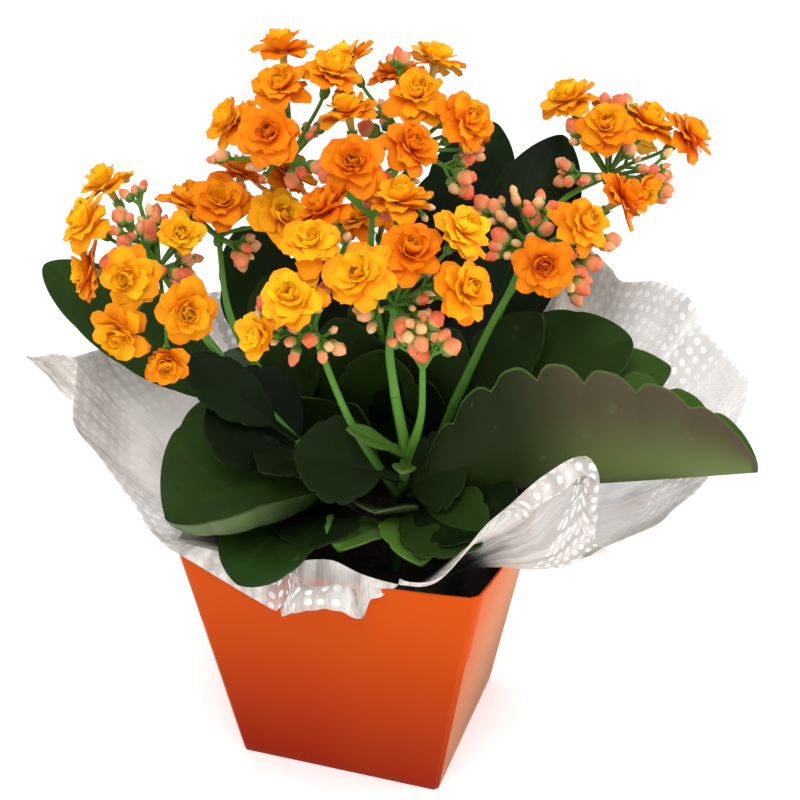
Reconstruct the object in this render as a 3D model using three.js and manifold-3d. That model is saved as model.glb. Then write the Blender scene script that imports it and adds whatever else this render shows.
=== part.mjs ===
// Potted kalanchoe with double flowers: a tapered square cover, a sheet of film gathered round the plant,
// a round nursery pot with its soil, five leafy shoots and the blooms on their heads.
// Millimetres, +Z up. The origin is the centre of the cover's base, and the cover's front wall faces -Y.
import * as THREE from 'three';
import { mergeVertices } from 'three/addons/utils/BufferGeometryUtils.js';
import Module from 'manifold-3d';

const wasm = await Module();
wasm.setup();

// ---------------------------------------------------------------- driving dimensions
const COVER_BASE = 84;           // width of the cover across its base
const COVER_TOP = 120;           // width across its rim, corner to corner along one wall
const COVER_HEIGHT = 103;
const COVER_WALL = 1.2;
const COVER_BOW = 4.5;           // how far the middle of each wall stands out at the rim
const COVER_STEPS = 5;           // points along one wall

const SEAT = 0.3;                // gap between pieces that lie on each other
const FILM_THICKNESS = 0.6;
const FILM_PLAY = 1.1;           // gap between the film and the pot that it is gathered round
const FILM_OVER_RIM = 3.2;       // height of the film over the cover's rim

const POT_HEIGHT = 90;
const POT_BASE_RADIUS = 36;
const POT_TOP_RADIUS = 49;
const POT_WALL = 1.4;
const POT_LIP = 2;               // how far the pot's lip stands out
const POT_LIP_HEIGHT = 8;
const POT_DRAIN_RADIUS = 5;
const POT_SIDES = 20;
const POT_FLOOR = COVER_WALL + SEAT + FILM_THICKNESS + SEAT;
const SOIL_TOP = POT_FLOOR + 80;
const SOIL_CROWN = 2;            // how much higher the soil stands in the middle

const STEM_FOOT = 70;            // height of a stem's foot, in its hole in the soil
const STEM_PLAY = 1.2;           // gap round a stem in its hole
const STEM_RADIUS = 3.4;         // a shoot's stem at the soil
const STALK_RADIUS = 1.9;        // a flower stalk halfway up
const STALK_TAPER = 0.4;         // how much thicker it is at its foot, and thinner under its head
const HUB_RADIUS = 2.6;          // knot where a head's stalks meet
const PEDICEL_RADIUS = 1.1;
const CALYX_RADIUS = 2.5;
const CALYX_LENGTH = 3.4;
const ROOT_START = 0.8;          // distance from a hub's centre at which its branches start

const BLOOM_RADIUS = 10.5;
const BLOOM_TUBE = 6.5;          // length of the tube behind the petals
const BLOOM_SPACING = 20.5;      // centres of two blooms side by side
const BLOOM_DEPTH_WEIGHT = 2.0;  // blooms one behind the other may stand this much closer
const SPACING_ROUNDS = 80;       // how often neighbouring blooms are moved apart
const BUD_LENGTH = 7;
const BUD_RADIUS = 2.1;
const BUD_SHAPE = [1.05, 1.55];  // where a bud is widest and where it ends, as shares of its length
const BUD_ROOM = 0.8;            // least gap between a bud and a bloom
const BUD_STEP = 2;              // every second bud of a spray is built
const BUD_LEAN = 0.75;           // how far the side buds of a spray lean out, as a share of their length
const BUD_SHRINK = 0.12;         // how much smaller each following side bud is

const RADIANS = Math.PI / 180;
const UP = new THREE.Vector3(0, 0, 1);
const point = (x, y, z) => new THREE.Vector3(x, y, z);

// Azimuth 0 is the front (-Y), 90 the right (+X), 180 the back. Elevation is above the horizon.
const heading = (azimuth, elevation) => point(
  Math.sin(azimuth * RADIANS) * Math.cos(elevation * RADIANS),
  -Math.cos(azimuth * RADIANS) * Math.cos(elevation * RADIANS),
  Math.sin(elevation * RADIANS),
);

// ---------------------------------------------------------------- closed bodies
// A closed body through rings of points. Neighbouring rings have the same number of points or only one,
// and an end ring with more than one point is closed by a fan. Where the body is a shell, the second half of its
// rings runs back inside the first, and the faces of both halves are split alike.
function loft(rings, isShell = false) {
  const points = rings.flat();
  const triangles = [];
  const starts = [];
  let total = 0;
  for (const ring of rings) {
    starts.push(total);
    total += ring.length;
  }
  for (let k = 0; k + 1 < rings.length; k += 1) {
    const lower = rings[k].length;
    const upper = rings[k + 1].length;
    const count = Math.max(lower, upper);
    for (let i = 0; i < count; i += 1) {
      const j = (i + 1) % count;
      const a = starts[k] + (lower > 1 ? i : 0);
      const b = starts[k] + (lower > 1 ? j : 0);
      const c = starts[k + 1] + (upper > 1 ? i : 0);
      const d = starts[k + 1] + (upper > 1 ? j : 0);
      if (isShell && k >= rings.length / 2 && upper > 1) {
        triangles.push(a, b, c, b, d, c);
      } else {
        if (lower > 1) triangles.push(a, b, d);
        if (upper > 1) triangles.push(a, d, c);
      }
    }
  }
  const last = rings.length - 1;
  for (let i = 1; i + 1 < rings[0].length; i += 1) triangles.push(0, i + 1, i);
  for (let i = 1; i + 1 < rings[last].length; i += 1) {
    triangles.push(starts[last], starts[last] + i, starts[last] + i + 1);
  }
  return facing(points, triangles);
}

// The indexed geometry of a closed body, turned so that its faces point out.
function facing(points, triangles) {
  let volume = 0;
  for (let t = 0; t < triangles.length; t += 3) {
    const [a, b, c] = [points[triangles[t]], points[triangles[t + 1]], points[triangles[t + 2]]];
    volume += a.dot(b.clone().cross(c));
  }
  if (volume < 0) triangles.reverse();
  const geometry = new THREE.BufferGeometry();
  geometry.setAttribute('position', new THREE.Float32BufferAttribute(points.flatMap((p) => p.toArray()), 3));
  geometry.setIndex(triangles);
  return geometry;
}

function toSolid(source) {
  let geometry = source.clone();
  geometry.deleteAttribute('normal');
  geometry.deleteAttribute('uv');
  geometry = mergeVertices(geometry, 1e-4);
  return new wasm.Manifold(new wasm.Mesh({
    numProp: 3,
    vertProperties: new Float32Array(geometry.attributes.position.array),
    triVerts: new Uint32Array(geometry.index.array),
  }));
}

function toGeometry(solid) {
  const mesh = solid.getMesh();
  const geometry = new THREE.BufferGeometry();
  geometry.setAttribute('position', new THREE.BufferAttribute(new Float32Array(mesh.vertProperties), 3));
  geometry.setIndex(new THREE.BufferAttribute(new Uint32Array(mesh.triVerts), 1));
  return geometry;
}

const fuse = (geometries) => toGeometry(
  geometries.map(toSolid).reduce((whole, next) => whole.add(next)),
);

// Two directions that stand square to an axis and to each other, the first turned by roll degrees.
function crossways(axis, roll = 0) {
  const helper = Math.abs(axis.z) > 0.9 ? point(1, 0, 0) : UP;
  const across = helper.clone().cross(axis).normalize().applyAxisAngle(axis, roll * RADIANS);
  return [across, axis.clone().cross(across)];
}

// A ring of points round a centre, square to an axis. Its first point lies towards hint, where one is given.
function ringAround(centre, axis, radius, sides, hint) {
  let [across, along] = crossways(axis);
  if (hint) {
    along = axis.clone().cross(hint).normalize();
    across = along.clone().cross(axis);
  }
  return Array.from({ length: sides }, (_, i) => centre.clone()
    .addScaledVector(across, radius * Math.cos((2 * Math.PI * i) / sides))
    .addScaledVector(along, radius * Math.sin((2 * Math.PI * i) / sides)));
}

// A round stem along a smooth curve, tapering evenly from its first radius to its last.
function stem(route, firstRadius, lastRadius, sides = 5, steps = 2 * (route.length - 1)) {
  const curve = new THREE.CatmullRomCurve3(route);
  const frames = curve.computeFrenetFrames(steps, false);
  const rings = frames.tangents.map((_, k) => {
    const centre = curve.getPointAt(k / steps);
    const radius = THREE.MathUtils.lerp(firstRadius, lastRadius, k / steps);
    return Array.from({ length: sides }, (__, i) => centre.clone()
      .addScaledVector(frames.normals[k], radius * Math.cos((2 * Math.PI * i) / sides))
      .addScaledVector(frames.binormals[k], radius * Math.sin((2 * Math.PI * i) / sides)));
  });
  return loft(rings);
}

// A straight round piece through stations given as [distance along the axis, radius].
function spindle(start, axis, stations, sides) {
  return loft(stations.map(([along, radius]) => {
    const centre = start.clone().addScaledVector(axis, along);
    return radius > 0 ? ringAround(centre, axis, radius, sides) : [centre];
  }));
}

// ---------------------------------------------------------------- leaves
const LEAF_RIB = 1.0;            // half the thickness of a leaf at its rib
const LEAF_FLESH = 0.55;         // half its thickness halfway to the margin
const LEAF_STALK_RADIUS = 2.0;
const LEAF_TIP_HALF = 0.6;       // half the width of a leaf's blunt tip
const LAST_NOTCH = 0.985;        // place of the last notch, just before the tip
const LEAF_FULLNESS = 0.56;      // 1 for a leaf with a pointed outline, less for a rounder one
const LEAF_CUP = 1.5;            // 1 for halves that rise straight from the rib, more for curved ones

// Half the width of a leaf at u, from 0 where the stalk widens to 1 at the tip, as a share of its half width.
// The leaf is widest towards its tip where peak is over 1, and towards its stalk where it is under 1.
const leafOutline = (u, peak) => Math.sin(Math.PI * u ** peak) ** LEAF_FULLNESS;

// A fleshy leaf, one thin arched body whose two faces are split alike. Its rib runs from its root, a share of the
// way along the stem's route, to its tip, and is lifted by arch in the middle. Each half rises from the rib by
// fold degrees. The margin has rounded lobes on each side, cut in by depth of the half width. stalk is the part of
// its length that is leaf stalk, and halves is the number of strips on each side of the rib.
const PLAIN_LEAF = { arch: 6, fold: 14, lobes: 4, depth: 0.14, stalk: 0.2, halves: 1, peak: 1.12 };

function leaf(route, shape) {
  const { at, tip, width, face, arch, fold, lobes, depth, stalk, halves, peak } = { ...PLAIN_LEAF, ...shape };
  const start = new THREE.CatmullRomCurve3(route).getPointAt(at);
  const end = point(...tip);
  const normal = point(...face).normalize();
  const middle = start.clone().lerp(end, 0.5).addScaledVector(normal, 2 * arch);
  const rib = new THREE.QuadraticBezierCurve3(start, middle, end);
  const stations = [0];
  for (let k = 0; k <= 3 * lobes; k += 1) stations.push(stalk + (1 - stalk) * LAST_NOTCH * (k / (3 * lobes)));
  stations.push(1);
  const upper = [];
  const lower = [];
  stations.forEach((t, k) => {
    const u = Math.max(0, (t - stalk) / (1 - stalk));
    const notch = k > 0 && (k - 1) % 3 === 0 ? depth : 0;
    const outline = (width / 2) * leafOutline(u, peak) * (1 - notch);
    const half = k + 1 === stations.length ? LEAF_TIP_HALF : Math.max(LEAF_STALK_RADIUS, outline);
    const along = rib.getTangent(t);
    const across = along.clone().cross(normal).normalize();
    const raised = across.clone().cross(along).normalize();
    const place = rib.getPoint(t);
    const row = (side) => {
      const points = [];
      for (let j = -halves; j <= halves; j += 1) {
        const share = Math.abs(j) / halves;
        const inner = share === 0 ? LEAF_RIB : LEAF_FLESH;
        const flesh = share === 1 ? 0 : inner;
        points.push(place.clone()
          .addScaledVector(across, ((half * j) / halves) * Math.cos(fold * RADIANS))
          .addScaledVector(raised, half * Math.sin(fold * RADIANS) * share ** LEAF_CUP + side * flesh));
      }
      return points;
    };
    upper.push(row(1));
    lower.push(row(-1));
  });
  return blade(upper, lower);
}

// A closed body between two grids of points that share their outer points along the two long margins.
function blade(upper, lower) {
  const points = [];
  const place = (row) => row.map((p) => points.push(p) - 1);
  const top = upper.map(place);
  const columns = upper[0].length;
  const bottom = lower.map((row, k) => row.map((p, j) => (
    j === 0 || j === columns - 1 ? top[k][j] : points.push(p) - 1)));
  const triangles = [];
  const corners = (grid, k, j) => [grid[k][j], grid[k][j + 1], grid[k + 1][j + 1], grid[k + 1][j]];
  for (let k = 0; k + 1 < top.length; k += 1) {
    for (let j = 0; j + 1 < columns; j += 1) {
      const [a, b, c, d] = corners(top, k, j);
      triangles.push(a, b, c, a, c, d);
      const [e, f, g, h] = corners(bottom, k, j);
      triangles.push(e, g, f, e, h, g);
    }
  }
  const rim = (k) => [...top[k], ...bottom[k].slice(1, -1).reverse()];
  const [root, tip] = [rim(0), rim(top.length - 1)];
  for (let i = 1; i + 1 < root.length; i += 1) triangles.push(root[0], root[i + 1], root[i]);
  for (let i = 1; i + 1 < tip.length; i += 1) triangles.push(tip[0], tip[i], tip[i + 1]);
  return facing(points, triangles);
}

// ---------------------------------------------------------------- blooms
// The whorls of petals from the outside in: each whorl's reach, its lift from flat in degrees, the height of its
// roots on the axis, and the points along one petal's rim as [share of its width, share of its reach, height].
const PETALS = 5;
const WHORLS = [
  { reach: 1.0, lift: 4, root: 0, rim: [[-1, 0.5, 0], [-0.68, 0.93, 0.7], [0, 1, -0.5], [0.68, 0.93, 0.7]] },
  { reach: 0.8, lift: 26, root: 1.1, rim: [[-1, 0.5, 0], [-0.6, 0.98, 0], [0.6, 0.98, 0]] },
  { reach: 0.56, lift: 50, root: 2.0, rim: [[-1, 0.6, 0], [0, 1, 0]] },
];
const TUBE_RADIUS = 2.0;
const TUBE_TAPER = 0.55;         // radius of the tube at its calyx, as a share of its radius at the petals
const WHORL_GAP = 0.8;           // height from a whorl's roots to the collar above it
const COLLAR_SHRINK = 0.25;      // how much slimmer each collar is than the one below it
const HALF_OPEN_LIFT = 55;       // how much steeper the petals of a closed bloom stand
const CLOSED_SIZE = 0.55;        // size of a closed bloom, as a share of an open one

const bloomSize = ({ open }) => THREE.MathUtils.lerp(CLOSED_SIZE, 1, open);

// A closed body through rings whose points are given as { turn, place }, turn being degrees round the axis in
// rising order. Neighbouring rings may have different numbers of points. The first ring is closed by a fan, and the
// last is one point.
function bridge(rings) {
  const points = [];
  const indices = rings.map((ring) => ring.map(({ place }) => points.push(place) - 1));
  const triangles = [];
  for (let i = 1; i + 1 < rings[0].length; i += 1) triangles.push(indices[0][0], indices[0][i + 1], indices[0][i]);
  for (let k = 0; k + 1 < rings.length; k += 1) {
    const [a, b] = [rings[k], rings[k + 1]];
    const turnAt = (ring, i) => ring[i % ring.length].turn + 360 * Math.floor(i / ring.length);
    let i = 0;
    let j = 0;
    while (i < a.length || (j < b.length && b.length > 1)) {
      const [here, there] = [indices[k][i % a.length], indices[k + 1][j % b.length]];
      const stepUpper = b.length > 1 && j < b.length
        && (i >= a.length || turnAt(b, j + 1) + turnAt(b, j) < turnAt(a, i + 1) + turnAt(a, i));
      if (stepUpper) {
        triangles.push(here, indices[k + 1][(j + 1) % b.length], there);
        j += 1;
      } else {
        triangles.push(here, indices[k][(i + 1) % a.length], there);
        i += 1;
      }
    }
  }
  return facing(points, triangles);
}

// A double bloom round its axis, with a slim tube behind. open is 1 for a full bloom and less for one half open.
function bloom({ centre, axis, open, roll }) {
  const radius = BLOOM_RADIUS * bloomSize({ open });
  const [across, along] = crossways(axis, roll);
  const spot = (turn, out, height) => ({
    turn,
    place: centre.clone()
      .addScaledVector(across, out * Math.cos(turn * RADIANS))
      .addScaledVector(along, out * Math.sin(turn * RADIANS))
      .addScaledVector(axis, height),
  });
  const petalTurns = 360 / PETALS;
  const collar = (out, height) => Array.from({ length: PETALS }, (_, i) => spot(i * petalTurns, out, height));
  const rings = [collar(TUBE_RADIUS * TUBE_TAPER, -BLOOM_TUBE), collar(TUBE_RADIUS, -WHORL_GAP)];
  WHORLS.forEach(({ reach, lift, root, rim }, layer) => {
    const rise = (lift + HALF_OPEN_LIFT * (1 - open)) * RADIANS;
    const ring = [];
    for (let i = 0; i < PETALS; i += 1) {
      for (const [width, share, ruffle] of rim) {
        const turn = (i + layer * 0.5 + width * 0.5) * petalTurns;
        const length = radius * reach * share;
        ring.push(spot(turn, length * Math.cos(rise), root + length * Math.sin(rise) + ruffle));
      }
    }
    const height = root + WHORL_GAP;
    const innermost = layer + 1 === WHORLS.length;
    const above = innermost ? [spot(0, 0, height)] : collar(TUBE_RADIUS * (1 - COLLAR_SHRINK * layer), height);
    rings.push(ring, above);
  });
  return bridge(rings);
}

// ---------------------------------------------------------------- the plant
// Each flower head: the shoot that carries it, its hub, the point that its stalk comes from, and round the hub its
// blooms as [azimuth, elevation, reach, openness] and its sprays of buds as [azimuth, elevation, reach, count].
const HEADS = {
  left: {
    shoot: 'front_left', hub: [-74, -32, 203],
    blooms: [[-70, 35, 30], [-115, 42, 38], [0, 10, 22], [-75, -5, 25], [-5, -30, 31], [40, -3, 40],
      [28, -28, 44, 0.45], [55, 45, 24, 0.5], [150, 55, 26]],
    sprays: [[-60, 70, 18, 3], [20, 85, 22, 4], [70, 10, 16, 3], [-40, -20, 16, 2], [150, 5, 18, 3]],
  },
  middle: {
    shoot: 'left', hub: [-60, -9, 210],
    blooms: [[30, 50, 23], [75, 25, 32], [110, 43, 36], [170, 50, 26]],
    sprays: [[-80, 45, 18, 4], [-150, 35, 18, 3], [80, -20, 18, 3]],
  },
  top_left: {
    shoot: 'back', hub: [-31, -5, 243],
    blooms: [[-150, 60, 40], [-80, 30, 24], [5, 30, 28], [10, 80, 27], [100, 68, 32]],
    sprays: [[-40, -10, 16, 3], [180, 25, 20, 4]],
  },
  top_front: {
    shoot: 'back', hub: [0, -12, 235],
    blooms: [[-130, 65, 28], [8, 33, 27], [75, 45, 26]],
    sprays: [[-50, 25, 18, 3], [40, 10, 20, 3]],
  },
  top_right: {
    shoot: 'back', hub: [9, 13, 245],
    blooms: [[-107, 45, 40], [-145, 60, 28], [40, 75, 21], [178, 45, 38], [75, 30, 27], [150, 5, 28]],
    sprays: [[80, -15, 26, 5], [-110, 15, 18, 3], [120, 40, 22, 3]],
  },
  front_right: {
    shoot: 'front_right', hub: [22, -44, 205],
    blooms: [[-92, 52, 40], [-170, 75, 35], [-15, 40, 30], [35, 60, 26], [94, 50, 35], [70, 24, 31]],
    sprays: [[45, -20, 22, 5], [-20, 5, 18, 3], [130, 25, 20, 3]],
  },
  front_left: {
    shoot: 'front_right', hub: [-4, -56, 197],
    blooms: [[35, 74, 33], [-5, 42, 23], [-28, 12, 22, 0.45]],
    sprays: [[-80, 20, 18, 4], [40, 0, 18, 4], [-100, 60, 20, 2]],
  },
  right: {
    shoot: 'right', hub: [60, 10, 212],
    blooms: [[72, 38, 22], [18, 8, 25], [123, 30, 36]],
    sprays: [[-80, 40, 26, 4], [-45, 15, 20, 4], [60, -20, 24, 4], [0, 80, 22, 4], [150, 0, 22, 3]],
  },
  back: {
    shoot: 'right', hub: [76, 58, 230],
    blooms: [[-98, 58, 32], [2, 58, 25], [120, 54, 24], [118, 25, 34], [60, -10, 16, 0.45], [170, 20, 26]],
    sprays: [[-70, 5, 20, 4], [100, -10, 24, 5], [180, 70, 20, 3]],
  },
  rear: {
    shoot: 'back', hub: [-22, 58, 178],
    blooms: [[-120, 40, 22], [-175, 50, 24], [80, 45, 24], [-60, 80, 24]],
    sprays: [[180, 0, 20, 4], [-90, 0, 20, 3]],
  },
};

// The shoots: the stem's route up from the soil, stalks on to the heads, and leaves.
const SHOOTS = {
  front_left: {
    route: [[-10, -15, STEM_FOOT], [-10, -16, 112], [-20, -21, 130], [-42, -27, 157]],
    stalks: [[[-42, -27, 157], [-57, -31, 178], [-74, -32, 203]]],
    leaves: [
      { at: 0.52, tip: [-66, -54, 112], width: 66, face: [-0.1, -0.5, 0.85], arch: 4, fold: 18,
        halves: 2 },
      { at: 0.42, tip: [-28, -54, 107], width: 34, face: [-0.1, -0.35, 0.93], arch: 3 },
      { at: 0.58, tip: [-56, -30, 154], width: 48, face: [0.25, -0.62, 0.74], arch: 2 },
    ],
  },
  front_right: {
    route: [[14, -16, STEM_FOOT], [16, -20, 112], [24, -34, 140], [22, -42, 170]],
    stalks: [
      [[22, -42, 170], [20, -43, 188], [22, -44, 205]],
      [[18, -26, 122], [6, -46, 160], [-4, -56, 197]],
      [[24, -34, 140], [33, -46, 165], [35, -52, 186]],
    ],
    leaves: [
      { at: 0.52, tip: [150, -26, 154], width: 76, face: [0, 0.42, 0.9], arch: -4, fold: 56, lobes: 6,
        depth: 0.12, stalk: 0.08, halves: 2, peak: 0.85 },
      { at: 0.45, tip: [68, -42, 126], width: 42, face: [0.1, -0.5, 0.85], arch: 2 },
      { at: 0.6, tip: [-14, -50, 145], width: 42, face: [-0.2, -0.75, 0.63], arch: 1 },
      { at: 0.3, tip: [6, -58, 112], width: 28, face: [0, -0.1, 1], arch: 4, fold: 20 },
      { at: 0.38, tip: [38, -58, 112], width: 26, face: [0, -0.1, 1], arch: 3, fold: 20 },
    ],
  },
  right: {
    route: [[18, 12, STEM_FOOT], [20, 8, 112], [32, 2, 150]],
    stalks: [
      [[32, 2, 150], [48, 5, 190], [60, 10, 212]],
      [[21, 8, 118], [40, 34, 175], [58, 54, 218], [76, 58, 230]],
    ],
    leaves: [
      { at: 0.84, tip: [96, 22, 177], width: 46, face: [-0.26, -0.64, 0.72], arch: 5, depth: 0.04 },
      { at: 0.56, tip: [110, 34, 163], width: 42, face: [-0.1, -0.5, 0.86], arch: 6 },
      { at: 0.66, tip: [54, 76, 240], width: 48, face: [-0.1, -0.8, 0.6], arch: -3 },
      { at: 0.46, tip: [70, 60, 146], width: 42, face: [-0.2, 0.1, 1], arch: 8 },
    ],
  },
  left: {
    route: [[-16, 12, STEM_FOOT], [-18, 9, 112], [-40, -6, 147]],
    stalks: [[[-40, -6, 147], [-56, -9, 178], [-60, -9, 210]]],
    leaves: [
      { at: 0.6, tip: [-140, -4, 188], width: 40, face: [0.4, -0.5, 0.77], arch: -6, depth: 0.03,
        stalk: 0.3 },
      { at: 0.64, tip: [-68, 30, 202], width: 40, face: [0.15, -0.93, 0.33], arch: -3 },
      { at: 0.54, tip: [-50, 52, 186], width: 38, face: [0.1, -0.9, 0.4], arch: -3 },
      { at: 0.5, tip: [-54, 0, 148], width: 44, face: [0.3, -0.6, 0.75], arch: 3 },
      { at: 0.46, tip: [-78, 42, 142], width: 44, face: [0.2, 0, 1], arch: 8 },
    ],
  },
  back: {
    route: [[2, 20, STEM_FOOT], [2, 20, 112], [0, 17, 150]],
    stalks: [
      [[0, 17, 150], [-4, 8, 200], [-2, 2, 222]],
      [[-2, 2, 222], [-18, -2, 236], [-31, -5, 243]],
      [[-2, 2, 222], [-1, -5, 229], [0, -12, 235]],
      [[-2, 2, 222], [4, 8, 236], [9, 13, 245]],
      [[2, 20, 122], [-10, 42, 154], [-22, 58, 178]],
    ],
    leaves: [
      { at: 0.72, tip: [20, 96, 238], width: 48, face: [0, -0.8, 0.6], arch: -3 },
      { at: 0.62, tip: [2, 2, 168], width: 36, face: [0, -0.92, 0.4], arch: 2 },
      { at: 0.4, tip: [4, 7, 143], width: 36, face: [0, -0.92, 0.4], arch: 1 },
      { at: 0.5, tip: [26, 76, 140], width: 44, face: [0, -0.1, 1], arch: 8 },
      { at: 0.56, tip: [-32, 74, 144], width: 42, face: [0, -0.1, 1], arch: 8 },
    ],
  },
};

const LIGHT = heading(15, 30);   // where the light comes from that the blooms turn to
const TURN_TO_LIGHT = 0.45;

// Every bloom with its hub, centre, axis, openness and name.
function placeBlooms() {
  const blooms = [];
  for (const [head, { hub, blooms: list }] of Object.entries(HEADS)) {
    list.forEach(([azimuth, elevation, reach, open = 1], i) => {
      const centre = point(...hub).addScaledVector(heading(azimuth, elevation), reach);
      blooms.push({ name: `bloom_${head}_${i + 1}`, head, hub: point(...hub), centre, open });
    });
  }
  const aim = () => blooms.forEach((b) => {
    b.axis = b.centre.clone().sub(b.hub).normalize().addScaledVector(LIGHT, TURN_TO_LIGHT).normalize();
  });
  aim();
  for (let round = 0; round < SPACING_ROUNDS; round += 1) {
    for (let i = 0; i < blooms.length; i += 1) {
      for (let j = i + 1; j < blooms.length; j += 1) {
        const apart = blooms[j].centre.clone().sub(blooms[i].centre);
        const facingBoth = blooms[i].axis.clone().add(blooms[j].axis).normalize();
        const depth = apart.dot(facingBoth);
        const side = apart.clone().addScaledVector(facingBoth, -depth).length();
        const distance = Math.hypot(side, BLOOM_DEPTH_WEIGHT * depth);
        const spacing = BLOOM_SPACING * (bloomSize(blooms[i]) + bloomSize(blooms[j])) / 2;
        if (distance < spacing) {
          apart.multiplyScalar((0.5 * (spacing - distance)) / distance);
          blooms[j].centre.add(apart);
          blooms[i].centre.sub(apart);
        }
      }
    }
    aim();
  }
  return blooms;
}

const BLOOMS = placeBlooms();

// A flower stalk's last branch, from the hub to the calyx that holds one bloom.
function pedicel({ hub, centre, axis }) {
  const seat = centre.clone().addScaledVector(axis, -BLOOM_TUBE - SEAT);
  const neck = seat.clone().addScaledVector(axis, -CALYX_LENGTH);
  const way = neck.clone().sub(hub).normalize();
  const [hint] = crossways(way);
  return loft([
    ringAround(hub.clone().addScaledVector(way, ROOT_START), way, PEDICEL_RADIUS / 2, 3, hint),
    ringAround(neck, way.add(axis).normalize(), PEDICEL_RADIUS, 3, hint),
    ringAround(seat, axis, CALYX_RADIUS, 3, hint),
  ]);
}

// True where a bud would stand in a bloom, whose petals and tube are taken as an egg round its axis.
const BLOOM_MIDDLE = 1;
const BLOOM_HALF_HEIGHT = 8;
const inBloom = (place) => BLOOMS.some(({ centre, axis, open }) => {
  const apart = place.clone().sub(centre);
  const depth = apart.dot(axis);
  const side = apart.addScaledVector(axis, -depth).length();
  const room = BLOOM_RADIUS * bloomSize({ open }) + BUD_RADIUS + BUD_ROOM;
  return (side / room) ** 2 + ((depth - BLOOM_MIDDLE) / BLOOM_HALF_HEIGHT) ** 2 < 1;
});

// A spray of buds: a branch from the hub that ends in one bud, with a small fan of buds round it.
function spray(hub, [azimuth, elevation, reach, count]) {
  const axis = heading(azimuth, elevation);
  const fork = hub.clone().addScaledVector(axis, reach - BUD_LENGTH);
  const [across, along] = crossways(axis, 20);
  const bud = (start, way, size, foot) => {
    const [widest, end] = BUD_SHAPE.map((share) => share * BUD_LENGTH * size);
    const stations = [...foot, [widest, BUD_RADIUS * size], [end, 0]];
    return inBloom(start.clone().addScaledVector(way, widest)) ? [] : [spindle(start, way, stations, 5)];
  };
  const pieces = [];
  for (let i = BUD_STEP; i < count; i += BUD_STEP) {
    const turn = (2 * Math.PI * i) / (count - 1);
    const way = axis.clone()
      .addScaledVector(across, BUD_LEAN * Math.cos(turn))
      .addScaledVector(along, BUD_LEAN * Math.sin(turn)).normalize();
    pieces.push(...bud(fork, way, 1 - BUD_SHRINK * (i % 3), [[0.3, 0.3]]));
  }
  const branch = [[ROOT_START - reach + BUD_LENGTH, PEDICEL_RADIUS / 2], [0.6, 0.8 * PEDICEL_RADIUS]];
  const end = bud(fork, axis, 1, branch);
  if (pieces.length && !end.length) end.push(spindle(fork, axis, branch, 4));
  return [...end, ...pieces];
}

function shoot(name) {
  const { route, stalks, leaves } = SHOOTS[name];
  const vectors = (list) => list.map((p) => point(...p));
  const pieces = [stem(vectors(route), STEM_RADIUS, STALK_RADIUS + STALK_TAPER)];
  for (const stalk of stalks) {
    pieces.push(stem(vectors(stalk), STALK_RADIUS + STALK_TAPER, STALK_RADIUS - STALK_TAPER));
  }
  for (const shape of leaves) pieces.push(leaf(vectors(route), shape));
  for (const [head, { shoot: carrier, hub, sprays }] of Object.entries(HEADS)) {
    if (carrier !== name) continue;
    const place = point(...hub);
    pieces.push(new THREE.IcosahedronGeometry(HUB_RADIUS).translate(...hub));
    for (const flower of BLOOMS.filter((b) => b.head === head)) pieces.push(pedicel(flower));
    for (const shape of sprays) pieces.push(...spray(place, shape));
  }
  return fuse(pieces);
}

// ---------------------------------------------------------------- cover, film, pot and soil
// A point of the cover's outline at a height, s walls round from the front left corner, moved in by inset.
function coverOutline(height, inset) {
  const half = THREE.MathUtils.lerp(COVER_BASE, COVER_TOP, height / COVER_HEIGHT) / 2 - inset;
  const bow = COVER_BOW * Math.max(0, height / COVER_HEIGHT) ** 2;
  const ring = [];
  for (let wall = 0; wall < 4; wall += 1) {
    for (let k = 0; k < COVER_STEPS; k += 1) {
      const s = (2 * k) / COVER_STEPS - 1;
      ring.push(point(half * s, -half - bow * (1 - s * s), height).applyAxisAngle(UP, (wall * Math.PI) / 2));
    }
  }
  return ring;
}

function cover() {
  const levels = [0, 0.5, 1];
  const outer = levels.map((level) => coverOutline(level * COVER_HEIGHT, 0));
  const inner = levels.map((level) => coverOutline(Math.max(COVER_WALL, level * COVER_HEIGHT), COVER_WALL));
  return loft([[point(0, 0, 0)], ...outer, ...inner.reverse(), [point(0, 0, COVER_WALL)]], true);
}

// The film's free edge, round the plant: [azimuth, reach, height, lift over the cover's rim]. It has a point at the
// left and one at the right, a fold that stands up at the front right, a wavy stretch behind on the right, and it
// curls down over the front of the rim.
const FILM_EDGE = [
  [-172, 116, 172], [-158, 106, 164], [-144, 112, 170], [-129, 106, 158], [-114, 112, 158], [-100, 120, 148],
  [-87, 142, 153], [-76, 124, 148], [-64, 112, 138], [-54, 96, 118], [-45, 90, 108], [-35, 80, 102],
  [-22, 70, 92], [-7, 68, 88, 3], [5, 70, 90, 6], [16, 71, 92, 4], [27, 76, 103], [36, 85, 112], [44, 96, 142],
  [51, 124, 174], [56, 112, 134], [64, 118, 128], [75, 126, 137], [86, 135, 149], [97, 141, 164], [108, 139, 162],
  [117, 130, 172], [126, 126, 181], [136, 114, 178], [146, 119, 186], [156, 106, 172], [170, 112, 168],
];
const FILM_SAG = 0.07;           // how far the film hangs under a straight line, as a share of its length
const FILM_ROLL = -0.35;         // the same for film that curls down over the rim, as a share of the sag
const FILM_SPREAD = 0.5;         // how far the sag moves the film out, as a share of how far it moves it down
const FILM_RIM_GAP = 1.2;        // how far out of the rim the film crosses it
const FILM_STATIONS = [0.4, 0.75]; // rows of points between the rim and the free edge
const MITRE_LIMIT = 2.5;         // most that a corner's points are moved further apart than the film is thick

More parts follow.
